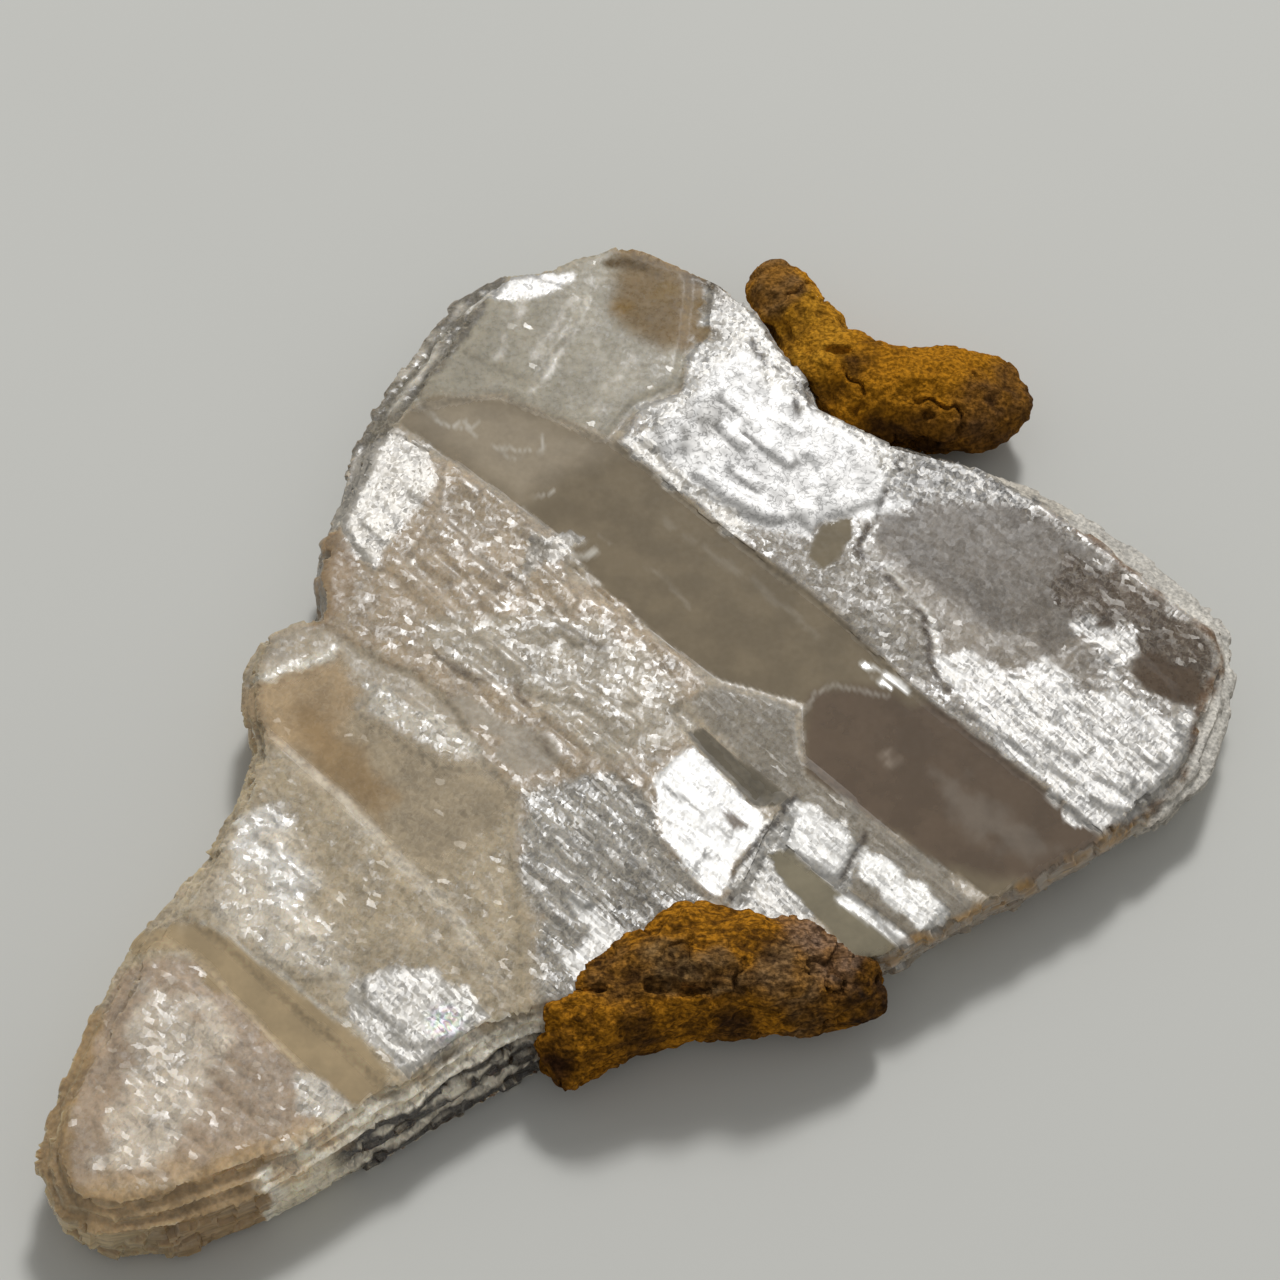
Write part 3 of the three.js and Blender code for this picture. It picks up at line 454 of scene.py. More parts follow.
        (-8.6, -21.9), (-6.3, -20.4), (-4.7, -20.2), (-4, -21), (-6.8, -22.6), (-9.8, -25), (-12.4, -26.6),
        (-16.5, -29.4), (-18, -28.4), (-15.6, -26.4)], relief=1, flashes=0.6, facing=0.9, ragged=0.4),
    "right_rim": Zone("d6d1c7", [(21.5, 7.6), *RIGHT_EDGE, *RIGHT_CORNER, (24.5, -11.5), (33, -8),
        (33, 2), (25, 11)], frost=0.8, soft=0.2, ragged=0.2, finish=Finish.CRUST),
    "far_rim": Zone("c2bbae", [(16.6, 10.6), (19.4, 9.2), (21.5, 7.6), (25, 11), (18, 14)], relief=0.6,
        frost=0.8, ragged=0.4, finish=Finish.CRUST),
    "near_edge_bevel": Zone("a08256", [(12.6, -17.9), (13.9, -16.7), (15.4, -15.6), (17.2, -14.6),
        (19.2, -13.5), (21.2, -12.1), (23, -10.9), (25, -9.6), (27.5, -10), (20, -17), (13, -20)],
        relief=0.25, frost=0.3, soft=0.25, ragged=0.15),
}


# ---- Marks on the crystal --------------------------------------------------------------------


@dataclass(frozen=True)
class Line:
    """A line of another tone: thin for a veil, a crack or a stained edge, wide for a soft streak."""

    path: Outline
    tone: str
    width: float = 0.16
    strength: float = 0.5
    facing: float = -0.6  # how far its faces lean with the split sheets

    def weight(self, points: Numbers, fade: Numbers) -> Numbers:
        """Its strength on the line, 0 past its width.

        Args:
            points: Places in millimetres.
            fade: Share of the line that shows at each place.
        """
        away = edge_distance(points, self.path, closed=False)
        return (1 - smooth_step(away, 0.2 * self.width, self.width)) * np.minimum(1, self.strength * fade)


WISP = "d8d3c8"
CRACK = "5a4f43"
RIM_STAIN = "6a4d2c"
EDGE_STAIN = "9a7434"
LINES = (
    Line([(-11.8, 14.3), (-10.7, 13.4), (-9.7, 12.8), (-9, 13.1), (-8.6, 12.3), (-8.1, 11.6),
         (-7.2, 11.3), (-6.6, 10.8), (-5.6, 10.9), (-5.1, 11.5), (-5.2, 12.1)], WISP, 0.15, 0.55, -0.8),
    Line([(-9.7, 12.8), (-8.8, 12.6), (-8.3, 12.9)], WISP, 0.14, 0.4, -0.7),
    Line([(-7.2, 11.3), (-6.6, 11.5), (-5.9, 11.3)], WISP, 0.14, 0.4, -0.7),
    Line([(-5.9, 7.6), (-5.2, 8.4), (-4.5, 8.9)], WISP, 0.15, 0.5, -0.6),
    Line([(-5.2, 6), (-4.1, 5.2), (-3, 4.8), (-1.7, 5.6)], WISP, 0.3, 0.8),
    Line([(-2.2, 6.2), (-0.2, 4.6), (1.4, 3.6), (2.4, 2.1)], WISP, 0.2, 0.12),
    Line([(1, 7.2), (3.2, 5.4), (5.8, 3.4), (8.8, 0.4)], WISP, 0.3, 0.1),
    Line([(8, -5.6), (8, -4.2), (8.7, -2.9), (9.6, -2.6), (10.8, -2.8), (12.2, -3.2)], WISP, 0.18, 0.3),
    Line([(5.9, -3), (7.4, -4.2), (7.8, -6.4)], WISP, 0.2, 0.2),
    Line([(19.6, 7.3), (21.6, 6.1)], "5f5446", 1.4, 0.8, -1.2),
    Line([(-24, -29.4), (-18, -28.4), (-14.6, -26.8)], "c9ab80", 2, 0.7, 0.1),
    Line([(-22.6, -15.2), (-20.4, -13.4)], "c6b69c", 1.8, 0.6, 0),
    Line([(-0.6, -13), (0.2, -15.4)], "6f695f", 1.6, 0.6, -0.8),
    Line([(-8.4, 7.6), (-6, 5.8), (-4.2, 4.2)], "96856a", 2.2, 0.5, -0.6),
    Line([(22.2, 1), (23.6, -0.9)], "786f63", 1.8, 0.9, -1.2),
    Line([(0.4, 12.9), (1.8, 12.5), (3, 13.2)], "958f84", 2, 0.9, -0.9),
    Line([(4.3, 18.8), (5.4, 20.4)], "a59e93", 1.5, 0.6, -0.5),
    Line([(2.8, 21.8), (4.4, 21.2)], "6e5f48", 1.3, 0.7, -1),
    Line([(-16.5, -16), (-14.8, -17.4), (-13.2, -19.4)], "c9bda8", 1.4, 0.7, 0.1),
    Line([(11.2, -1.3), (12, -1.7), (12.8, -2.2), (13.2, -2.8)], "f0eee8", 0.3, 1.5, 0.9),
    Line([(11.6, -2), (12.4, -2.5)], "f0eee8", 0.24, 1.2, 0.9),
    Line([(11.9, -6.5), (12.4, -6.3), (12.7, -6.7), (12.2, -7)], "a89a8a", 0.4, 0.6),
    Line([(13.6, 11.5), (13, 9.6), (12.2, 7.6), (11.5, 6.5), (10.9, 5.4)], CRACK, 0.24, 1.6, -2),
    Line([(10.9, 5.4), (12.2, 4.1), (13.4, 2.4), (14.3, 1.4), (14.4, -0.3), (14.7, -1.8), (15.3, -2.9)],
         CRACK, 0.26, 1, -1.5),
    Line([(11.3, 5.6), (12.6, 4.2), (13.9, 2.4), (14.7, 1.4), (14.8, -0.4)], WISP, 0.2, 0.7, 0.2),
    Line([(5.8, 18.5), (5.9, 17.7), (6.7, 16.9), (7.6, 16.3), (8.4, 15.4), (8.3, 14.5), (8.1, 13.5)],
         CRACK, 0.26, 1.1, -2),
    Line([(4.2, 10.1), (5.4, 11.2), (6.7, 11.6), (8.3, 11.9), (8.9, 11), (9, 10)], "c0beba", 0.22, 1,
         -0.2),
    Line([(2.6, 12.6), (3.1, 14.5), (5, 15.4), (7, 14.6), (8.1, 13.5)], "c4c2be", 0.2, 0.8, -0.1),
    Line([(4.4, 13.2), (6.4, 13), (8, 12.2)], "c4c2be", 0.2, 0.8, -0.1),
    Line([(10.6, 9.6), (11.4, 9), (11.2, 8.3)], CRACK, 0.3, 0.9, -2),
    Line([(8.1, -8.1), (7.3, -9), (6.5, -10.4), (5.9, -10.8), (5.3, -11.8), (4.7, -12.7), (4.3, -14.4)],
         CRACK, 0.24, 1, -1.5),
    Line([(11.6, -9.6), (11, -10.6), (10.5, -11.7), (9.6, -13.2)], CRACK, 0.24, 0.9, -1.5),
    Line([(1.2, -8.2), (2.6, -9.4), (4.2, -11)], "b5b1aa", 0.2, 0.7, -0.5),
    Line([(1.2, -10), (2.6, -11.2), (4, -12.6)], "b5b1aa", 0.2, 0.7, -0.5),
    Line([(-8.1, 4.7), (-6.1, 3.2), (-4, 0.9), (-2, -0.6)], "7a6f5f", 0.3, 0.7, -1),
    Line([(-7.2, -2.2), (-6.8, -2.3), (-6.1, -2.9), (-5.6, -4.1), (-4.5, -6.6)], "7a6b5a", 0.3, 0.8, -1),
    Line([(-10.4, -0.9), (-8, -2.6), (-7.2, -2.2)], "7a6e5f", 0.32, 0.9, -1),
    Line([(-17.6, -6.4), (-14.6, -9.2), (-12.6, -11.4), (-10.1, -13.8), (-8.3, -16.4)], "cfc3ad", 0.7,
         0.7, -0.1),
    Line([(-14, -18.1), (-13.4, -19.8), (-12.2, -21.3), (-10.6, -23.1)], WISP, 0.3, 0.6),
    Line([(-20.8, -15.7), (-19.4, -16.5), (-16, -19.1), (-13, -21.5)], WISP, 0.2, 0.6),
    Line([(-2.5, 22), (-3.1, 20), (-4.4, 17.5), (-5.5, 15.2)], "cfc8ba", 0.45, 0.9, -0.2),
    Line([(-3.4, 21.4), (-4.3, 19.4), (-5.5, 17)], "bdb5a6", 0.4, 0.7, -0.2),
    Line([(-6.1, 21), (-7, 18.3), (-7.9, 16.3)], "bdb5a6", 0.4, 0.7, -0.2),
    Line([(-8.1, 21.6), (-10.2, 18.7), (-11.9, 15.9), (-13.1, 14)], "c9c2b4", 0.45, 0.9, -0.1),
    Line([(-9.4, 21), (-11.4, 18.4), (-12.8, 16.4)], "c3bbac", 0.4, 0.8, -0.2),
    Line([(-0.4, 17), (-1.6, 15.4), (-2.2, 13.8)], "bdb5a6", 0.4, 0.6, -0.2),
    Line([(-1.6, 23.4), (0, 23.2), (1.5, 22.8), (2.7, 22.4), (4.2, 21.9)], "5f4a22", 0.6, 1.4, -2),
    Line([(1.6, 21.6), (2.8, 20.6), (3.6, 19.2)], "866a30", 1.2, 0.7, -2),
    Line(RIGHT_EDGE, RIM_STAIN, 0.42, 0.9, -1.2),
    Line([(27.4, -4.8), *RIGHT_CORNER, (22.8, -10.5)], RIM_STAIN, 0.36, 0.8, -1.2),
    Line([(11.6, -17.3), (13.2, -16.2), (15.3, -15.3), (17.2, -14.2), (19.2, -13.1), (21.2, -11.7),
         (22.8, -10.8), (24.8, -9.5)], EDGE_STAIN, 0.45, 0.8),
    Line([(-10.2, -23.7), (-9.7, -22.9), (-8.6, -22), (-6.3, -20.5), (-4.7, -20.3)], "5b4a38", 0.2, 0.5),
)
RUST_SPOT = (-1.0, 20.3, 1.0)  # x, y and radius of an ochre inclusion under the far corner
RAINBOW = (-9.1, -20.8, 1.3)  # x, y and reach of the thin-film colours on the comb
BODY_TONE = "a89a83"
RUST_TONE = "8c6a1e"


@dataclass(frozen=True)
class SideToneAndShade:
    """A stretch of the plate's broken side with its own tone near a line in plan; one is painted shade."""

    path: Outline
    width: float
    tone: str
    finish: Finish = Finish.MILKY
    top: float = 9.0  # mm above the table, where the stretch ends

    def weight(self, points: Numbers) -> Numbers:
        """1 along the line, 0 past its width."""
        away = edge_distance(points, self.path, closed=False) + 0.7 * rough_noise(points, 1.4, 20)
        below = 1 - smooth_step(points[:, 2], self.top - 0.3, self.top)
        return (1 - smooth_step(away, 0.4 * self.width, self.width)) * below


SIDE_TONES_AND_SHADE = (
    SideToneAndShade([(-24, -31), (-28, -27), (-25, -18), (-19, -6), (-19, 0)], 3.0, "b7a27c"),
    SideToneAndShade([(-16, 2), (-16, 8), (-14, 15), (-10, 21)], 2.6, "979084"),
    SideToneAndShade([(-15.4, -27.6), (-12.4, -25.4), (-9.3, -23.6), (-4.9, -21), (2.4, -20)], 2.0, "e6d9bd"),
    # painted shade: the near side below the ledge, which faces away from the lamps, darkened almost to
    # black
    SideToneAndShade([(-12.8, -25.8), (-9.3, -23.6), (-4.9, -21), (2.4, -20), (11, -18)], 2.0, "2a2119", top=3.9),
    SideToneAndShade([(12.2, -17.3), (19.2, -13.1), (25.2, -9.4)], 1.8, "9d9080"),
    SideToneAndShade([(26, -9), (30, -1), (25, 6.5), (19, 10.5)], 2.4, "b9b2a6", Finish.CRUST),
)


# ---- Fine meshes -----------------------------------------------------------------------------


def placed(name: str, data: bpy.types.ID) -> bpy.types.Object:
    """Adds an object to the scene."""
    result = bpy.data.objects.new(name, data)
    bpy.context.scene.collection.objects.link(result)
    return result


def read_all(items: bpy.types.bpy_prop_collection, name: str, width: int = 1) -> Numbers:
    """One property of all items of a mesh, as rows of width numbers."""
    values = np.empty(width * len(items))
    items.foreach_get(name, values)
    return values.reshape(-1, width)


def modified(
    mesh: bpy.types.Mesh, kind: str, group: Whole | None = None, **settings: object
) -> bpy.types.Mesh:
    """Runs one modifier over a mesh.

    Args:
        mesh: The mesh, which is used up.
        kind: The modifier's type name.
        group: Numbers of the vertices that the modifier's vertex group holds, if it takes one.
        **settings: The modifier's settings.

    Returns:
        The new mesh.
    """
    carrier = placed("carrier", mesh)
    modifier = carrier.modifiers.new("step", kind)
    if group is not None:
        carrier.vertex_groups.new(name="group").add(group.tolist(), 1.0, "REPLACE")
        modifier.vertex_group = "group"
    for name, value in settings.items():
        setattr(modifier, name, value)
    graph = bpy.context.evaluated_depsgraph_get()
    result = bpy.data.meshes.new_from_object(carrier.evaluated_get(graph))
    bpy.data.objects.remove(carrier)
    bpy.data.meshes.remove(mesh)
    return result


class FineMesh:
    """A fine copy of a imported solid, with its vertices as arrays in the plate's drawing axes."""

    def __init__(self, node: str, name: str, voxel: float, turn: float = 0.0) -> None:
        """Copies a solid as a mesh of even small faces.

        Args:
            node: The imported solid's name.
            name: The new piece's name.
            voxel: Size of a face, in millimetres.
            turn: The direction that rows of faces run in, in radians from +X.
        """
        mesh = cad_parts[node].data.copy()
        mesh.transform(Matrix.Rotation(-turn, 4, "Z"))
        mesh = modified(mesh, "REMESH", mode="VOXEL", voxel_size=voxel * MM)
        mesh.transform(Matrix.Rotation(turn, 4, "Z"))
        self.node = node
        self.object = placed(name, mesh)
        self.read()

    def read(self) -> None:
        """Takes the vertices and their normals from the mesh."""
        mesh = self.object.data
        self.points = read_all(mesh.vertices, "co", 3) / MM - PLAN_ORIGIN
        self.normals = read_all(mesh.vertex_normals, "vector", 3)

    def press(self, shift: Numbers) -> None:
        """Moves every vertex by its own shift in millimetres."""
        mesh = self.object.data
        mesh.vertices.foreach_set("co", ((self.points + shift + PLAN_ORIGIN) * MM).ravel())
        mesh.update()
        self.read()

    def thin_underside(self, top: float, kept: float) -> None:
        """Leaves few faces on the piece's flat underside, which nothing is pressed into.

        Args:
            top: Only faces below this height, in millimetres, are thinned.
            kept: Share of them that stays.
        """
        under = np.nonzero((self.points[:, 2] < top) & (self.normals[:, 2] < -0.95))[0]
        ratio = 1 - (1 - kept) * len(under) / len(self.points)
        full = self.object.data
        self.object.data = modified(
            full.copy(), "DECIMATE", under,
            decimate_type="COLLAPSE", ratio=ratio, vertex_group_factor=1000,
        )
        bpy.data.meshes.remove(full)
        self.read()

    def paint(self, name: str, *channels: Numbers) -> None:
        """Stores a mask for the finishes to read.

        Args:
            name: The mask's name.
            *channels: Up to four columns in all, with a row for each vertex.
        """
        columns = np.column_stack(channels)
        colours = np.ones((len(columns), 4), dtype=np.float32)
        colours[:, : columns.shape[1]] = columns
        layer = self.object.data.attributes.new(name, "FLOAT_COLOR", "POINT")
        layer.data.foreach_set("color", colours.ravel())

    def of_faces(self, values: Whole) -> Whole:
        """What each face takes from its first corner."""
        mesh = self.object.data
        corners = read_all(mesh.loops, "vertex_index").astype(np.int64).ravel()
        starts = read_all(mesh.polygons, "loop_start").astype(np.int64).ravel()
        return values[corners[starts]]

    def dress(self, materials: Sequence[bpy.types.Material], choice: Whole | None = None) -> None:
        """Gives the piece its materials, slot and place on the body.

        Args:
            materials: The finishes, one for each material slot.
            choice: The slot of each vertex, or None where one finish covers all.
        """
        mesh = self.object.data
        mesh.materials.clear()
        for material in materials:
            mesh.materials.append(material)
        if choice is not None:
            mesh.polygons.foreach_set("material_index", self.of_faces(choice).astype(np.int32))
        mesh.shade_smooth()
        mesh.set_sharp_from_angle(angle=SHARP_ANGLE)
        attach(self.object, "root")
        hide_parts(self.node)


# ---- The crystal -----------------------------------------------------------------------------


@dataclass
class CalciteCrystal:
    """The tabular plate, its ledges, its broken sides and its frosted rim."""

    voxel: float = 0.185
    upper_side: float = 2.9  # mm above the table, below which no ledge reaches
    band_floor: float = 4.6  # mm above the table, at the middle of the plate
    wedge: float = 0.02  # how much that falls for each mm along +X
    ledge_cut: float = 0.6  # share of a ledge's height that the finest cleavage takes off it
    side_relief: float = 0.36
    chip: tuple[float, float, float] = (1.4, 0.9, 0.8)  # mm, size of the blocks missing from a side
    sheets: tuple[float, float] = (3.0, 0.45)  # mm, length and height of the layers on a side
    sheet_share: float = 0.25  # share of the side's relief that the layers make
    chip_share: float = 0.5  # share that the missing blocks make
    patchiness: float = 0.13  # how much the tone differs from one sheet to the next
    sheet_patch = Facets(2.4, 1.1, (0, 0), 0, 111)
    flake_patch = Facets(1.0, 0.7, (0, 0), 0, 121, CROSS_ANGLE)
    crumple_height: float = 0.004  # mm
    line_bend: float = 0.22  # mm that the painted lines stray
    wall_frost: float = 0.9  # how dull the little walls of the ledges are
    wall_facing: float = 0.4  # how far they lean away from the split sheets

    facets = {
        Grain.STREAKS: (
            Facets(3.8, 0.8, (0.01, 0.02), 0.006, 21),
            Facets(1.7, 0.42, (0.01, 0.02), 0.004, 31),
        ),
        Grain.FLAKES: (
            Facets(1.9, 1.4, (0.008, 0.008), 0.003, 41),
            Facets(0.9, 0.7, (0.008, 0.008), 0.001, 51),
        ),
        Grain.CRUMPLE: (
            Facets(2.8, 1.8, (0.005, 0.005), 0.0, 61),
            Facets(1.2, 0.9, (0.004, 0.004), 0.0, 71),
        ),
        Grain.CROSS_STREAKS: (
            Facets(4.5, 0.8, (0.02, 0.14), 0.08, 81, CROSS_ANGLE),
            Facets(2.0, 0.45, (0.04, 0.12), 0.03, 91, CROSS_ANGLE),
        ),
    }

    def build(self) -> FineMesh:
        """Makes the piece, presses its cleavage into it and dresses it."""
        piece = FineMesh("calcite_crystal", "calcite_plate", self.voxel, turn=BAND_ANGLE)
        piece.thin_underside(top=0.6, kept=0.02)
        self.zone_masks(piece)
        up = smooth_step(piece.normals[:, 2], 0.55, 0.9)
        up *= smooth_step(piece.points[:, 2], self.upper_side, self.upper_side + 0.4)
        rise = piece.normals[:, 2]
        self.walls = smooth_step(1 - rise, 0.002, 0.03) * (rise > 0.2)
        shift = self.broken_sides(piece)
        shift[:, 2] += up * self.cleavage(piece) - self.ledge_cut * self.above_floor(piece.points)
        piece.press(shift)
        self.paint(piece)
        finishes = [ClearCalcite(), MilkyCalcite(), PearlyCalcite(), FrostedCrust()]
        piece.dress([finish.material() for finish in finishes], self.finish)
        return piece

    def above_floor(self, points: Numbers) -> Numbers:
        """How far each place stands above the floor of the growth bands, in millimetres."""
        return np.maximum(0, points[:, 2] - self.band_floor + self.wedge * points[:, 0])

    def zone_masks(self, piece: FineMesh) -> None:
        """Works out what each vertex gets from the zones that it lies in."""
        points = piece.points
        count = len(points)
        wander = rough_noise(points, 0.9, 3)
        self.tone = np.tile(linear(BODY_TONE), (count, 1))
        self.grain = np.tile(np.eye(len(Grain))[Grain.FLAKES.value], (count, 1))
        self.finish = np.full(count, Finish.MILKY.value)
        self.relief, self.frost = np.full(count, 0.4), np.full(count, 0.4)
        self.flashes, self.facing = np.zeros(count), np.zeros(count)
        for zone in ZONES.values():
            weight = zone.weight(points, wander)
            channel = np.eye(len(Grain))[zone.grain.value]
            tint(self.tone, zone.tone, weight)
            self.grain += weight[:, None] * (channel - self.grain)
            for name in ("relief", "frost", "flashes", "facing"):
                values = getattr(self, name)
                values += weight * (getattr(zone, name) - values)
            self.finish[weight > 0.5] = zone.finish.value
        _, sheet = self.sheet_patch.nearest(points + 0.3 * wander[:, None])
        _, flake = self.flake_patch.nearest(points + 0.2 * wander[:, None])
        patches = hashed(sheet, 113) + hashed(flake, 123) - 1 + 0.5 * noise(points, 2.6, 18)
        self.tone *= (1 + self.patchiness * smooth_step(self.relief, 0.1, 0.5) * patches)[:, None]
        self.flashes *= np.clip(1 + 1.6 * rough_noise(points, 1.7, 19), 0, 3)

    def cleavage(self, piece: FineMesh) -> Numbers:
        """Height of the steps and facets of each zone's grain, in millimetres."""
        height = np.zeros(len(piece.points))
        for grain, sizes in self.facets.items():
            amount = self.grain[:, grain.value] * self.relief
            here = amount > 0.01
            for facets in sizes:
                height[here] += facets.relief(piece.points[here], amount[here])
        crumple = self.grain[:, Grain.CRUMPLE.value] * self.relief
        return height + crumple * self.crumple_height * rough_noise(piece.points, 1.1, 17)

    def broken_sides(self, piece: FineMesh) -> Numbers:
        """Shift of the broken sides: the edges of many thin sheets, and chips out of them."""
        points = piece.points
        side = 1 - smooth_step(np.abs(piece.normals[:, 2]), 0.5, 0.85)
        length, height = self.sheets
        sheets = noise(points, (length, length, height), 7) + 0.6 * noise(points, (0.9, 0.9, 0.4), 8)
        grid = np.column_stack([turned(points, BAND_ANGLE), points[:, 2]]) / self.chip
        blocks = np.floor(grid + 0.5 * noise(points, 0.9, 9)[:, None]).astype(np.int64)
        chips = noise(points, (1.8, 1.8, 1.2), 10) + 1.2 * (2 * hashed(blocks, 11) - 1)
        outwards = piece.normals * np.array([1.0, 1.0, 0.0])
        relief = self.sheet_share * sheets + self.chip_share * chips
        return outwards * (side * self.side_relief * relief)[:, None]

    def paint(self, piece: FineMesh) -> None:
        """Paints the masks that the finishes read."""
        points, normals = piece.points, piece.normals
        below = self.band_floor - self.wedge * points[:, 0] - points[:, 2]
        side = (1 - smooth_step(np.abs(normals[:, 2]), 0.35, 0.75)) * smooth_step(below, 0.05, 0.35)
        upper = smooth_step(points[:, 2], self.upper_side, self.upper_side + 0.5) * (normals[:, 2] > 0)
        self.finish[side > 0.5] = Finish.MILKY.value
        self.finish[normals[:, 2] < -0.6] = Finish.CLEAR.value
        walls = self.walls * upper * (1 - side)
        self.frost = np.maximum(self.frost, self.wall_frost * walls)
        self.relief *= 1 - 0.6 * side
        self.facing = self.facing * upper * (1 - side) - self.wall_facing * walls
        self.flashes *= upper * (1 - side)
        # side tones, with the painted shade of the near side among them
        for side_patch in SIDE_TONES_AND_SHADE:
            weight = side_patch.weight(points) * side
            tint(self.tone, side_patch.tone, weight)
            self.finish[weight > 0.5] = side_patch.finish.value
        bend = np.stack([noise(points, 0.8, seed) for seed in (24, 25)], axis=1)
        bent = points + self.line_bend * np.pad(bend, ((0, 0), (0, 1)))
        fade = smooth_step(rough_noise(points, 0.9, 26), -0.7, 0.3)
        for line in LINES:
            weight = line.weight(bent, fade) * upper
            tint(self.tone, line.tone, weight)
            self.facing += weight * (line.facing - self.facing)
        tint(self.tone, RUST_TONE, upper * round_spot(points, RUST_SPOT))
        slope = FLASH_SLOPE + FLASH_BOW * points[:, :2]
        piece.paint("tone", self.tone)
        piece.paint("relief", self.grain * self.relief[:, None])
        piece.paint("lean", slope, self.flashes, self.facing)
        piece.paint("finish", self.frost, side, upper * round_spot(points, RAINBOW))


# ---- The lumps -------------------------------------------------------------------------------


@dataclass(frozen=True)
class Patch:
    """A round patch of another tone on a lump."""

    middle: tuple[float, float]
    reach: float
    tone: str

    def weight(self, points: Numbers) -> Numbers:
        """1 in the middle, falling to 0 at its reach."""
        x, y = self.middle
        away = np.hypot(points[:, 0] - x, points[:, 1] - y) + 0.7 * rough_noise(points, 1.6, 61)
        return 1 - smooth_step(away, 0.45 * self.reach, self.reach)


@dataclass
class IronOxideLump:
    """A lump of rusty iron oxide, grown on an edge of the crystal."""

    node: str
    name: str
    tone: str
    patches: tuple[Patch, ...]
    roughness: float  # height of its broad relief, in millimetres
    strata: float  # how much of that relief runs in wavy layers, from 0 to 1
    crust: float  # how much of it a dark crust covers, from 0 to 1
    seed: int
    depth: float = 0.25  # of its crevices, in millimetres
    voxel: float = 0.12
    seat: float = 0.34  # how far its seat is pushed into the crystal that it grew on
    headroom: float = 0.12  # how far it may rise past the solid

    def build(self, crystal: bpy.types.Object) -> FineMesh:
        """Makes the piece and dresses it.

        Args:
            crystal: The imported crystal, which the lump is seated on.
        """
        piece = FineMesh(self.node, self.name, self.voxel)
        ceiling = piece.points[:, 2].max() + self.headroom
        floor = piece.points[:, 2].min()
        relief, hollows = self.relief(piece.points), self.hollows(piece.points)
        outwards = self.roughness * relief - self.depth * hollows + self.seating(piece, crystal)
        shift = piece.normals * outwards[:, None]
        height = np.clip(piece.points[:, 2] + shift[:, 2], floor, ceiling)
        shift[:, 2] = height - piece.points[:, 2]
        piece.press(shift)
        tone = np.tile(linear(self.tone), (len(relief), 1))
        for patch in self.patches:
            tint(tone, patch.tone, patch.weight(piece.points))
        low = smooth_step(-relief, 0.0, 0.9)
        crust = np.full(len(low), self.crust)
        piece.paint("tone", tone)
        piece.paint("finish", np.maximum(hollows, low), self.layers(piece.points), crust)
        piece.dress([IronOxide().material()])
        return piece

    def relief(self, points: Numbers) -> Numbers:
        """Lumps, layers and grains, from about -1 to 1."""
        lumps = rough_noise(points, 1.9, self.seed)
        grains = noise(points, 0.45, self.seed + 5) + 0.6 * noise(points, 0.27, self.seed + 6)
        return (1 - self.strata) * lumps + self.strata * self.layers(points) + 0.5 * grains

    def hollows(self, points: Numbers) -> Numbers:
        """Crevices, from 0 to 1 where they are deepest."""
        crevices = 1 - smooth_step(np.abs(rough_noise(points, 2.0, self.seed + 31)), 0.02, 0.14)
        patchy = smooth_step(noise(points, 2.2, self.seed + 35), -0.1, 0.4)
        return crevices * patchy

    def layers(self, points: Numbers) -> Numbers:
        """Wavy layers that run along the plate's edge, from -1 to 1."""
        bent = points + 0.5 * noise(points, 1.8, self.seed + 20)[:, None]
        return noise(bent, (3.2, 0.7, 0.5), self.seed + 21)

    def seating(self, piece: FineMesh, crystal: bpy.types.Object) -> Numbers:
        """How far each vertex moves out to close the gap to the crystal."""
        mesh = crystal.data
        tree = BVHTree.FromPolygons([v.co for v in mesh.vertices], [p.vertices for p in mesh.polygons])
        places = (piece.points + PLAN_ORIGIN) * MM
        gaps = np.array([tree.find_nearest(Vector(place))[3] for place in places]) / MM
        return self.seat * (1 - smooth_step(gaps, self.seat, 2.5 * self.seat))


FAR_LUMP = IronOxideLump(
    node="far_iron_oxide_lump",
    name="far_iron_oxide",
    tone="b87c1c",
    patches=(
        Patch((8.6, 19.0), 4.5, "c68e2a"),
        Patch((6.7, 24.2), 2.0, "87653c"),
        Patch((7.4, 21.6), 1.9, "87653c"),
        Patch((11.2, 16.4), 1.5, "5a3c18"),
        Patch((12.4, 12.8), 1.8, "432c17"),
        Patch((15.0, 12.2), 2.4, "523820"),
        Patch((18.2, 13.4), 3.0, "6b4c2c"),
        Patch((20.4, 15.4), 2.6, "6e4e2a"),
    ),
    roughness=0.2,
    strata=0.2,
    crust=0.15,
    seed=101,
)
NEAR_LUMP = IronOxideLump(
    node="near_iron_oxide_lump",
    name="near_iron_oxide",
    tone="b0761f",
    patches=(
        Patch((0.2, -21.7), 1.5, "5a3c1c"),
        Patch((4.6, -20.8), 1.7, "4c3420"),
        Patch((8.0, -20.6), 1.9, "55402c"),
        Patch((11.0, -18.6), 2.4, "33261e"),
        Patch((8.6, -16.8), 2.6, "927660"),
        Patch((6.8, -18.6), 2.2, "8a6b47"),
        Patch((3.6, -18.4), 1.6, "7c6344"),
        Patch((1.2, -18.4), 1.6, "8c6e46"),
        Patch((-1.2, -18.8), 1.6, "8a6436"),
        Patch((-4.0, -18.0), 1.5, "6b4522"),
        Patch((-4.6, -22.6), 1.9, "4a2f1a"),
        Patch((4.6, -12.6), 1.3, "4f361c"),
        Patch((8.4, -13.6), 1.5, "42301f"),
        Patch((-2.4, -14.2), 1.4, "4e3924"),
    ),
    roughness=0.24,
    strata=0.5,
    crust=0.5,
    seed=211,
)


# ---- Node graphs -----------------------------------------------------------------------------

Socket = bpy.types.NodeSocket
Inputs = dict[str | int, object]
HALF = (0.5, 0.5, 0.5)


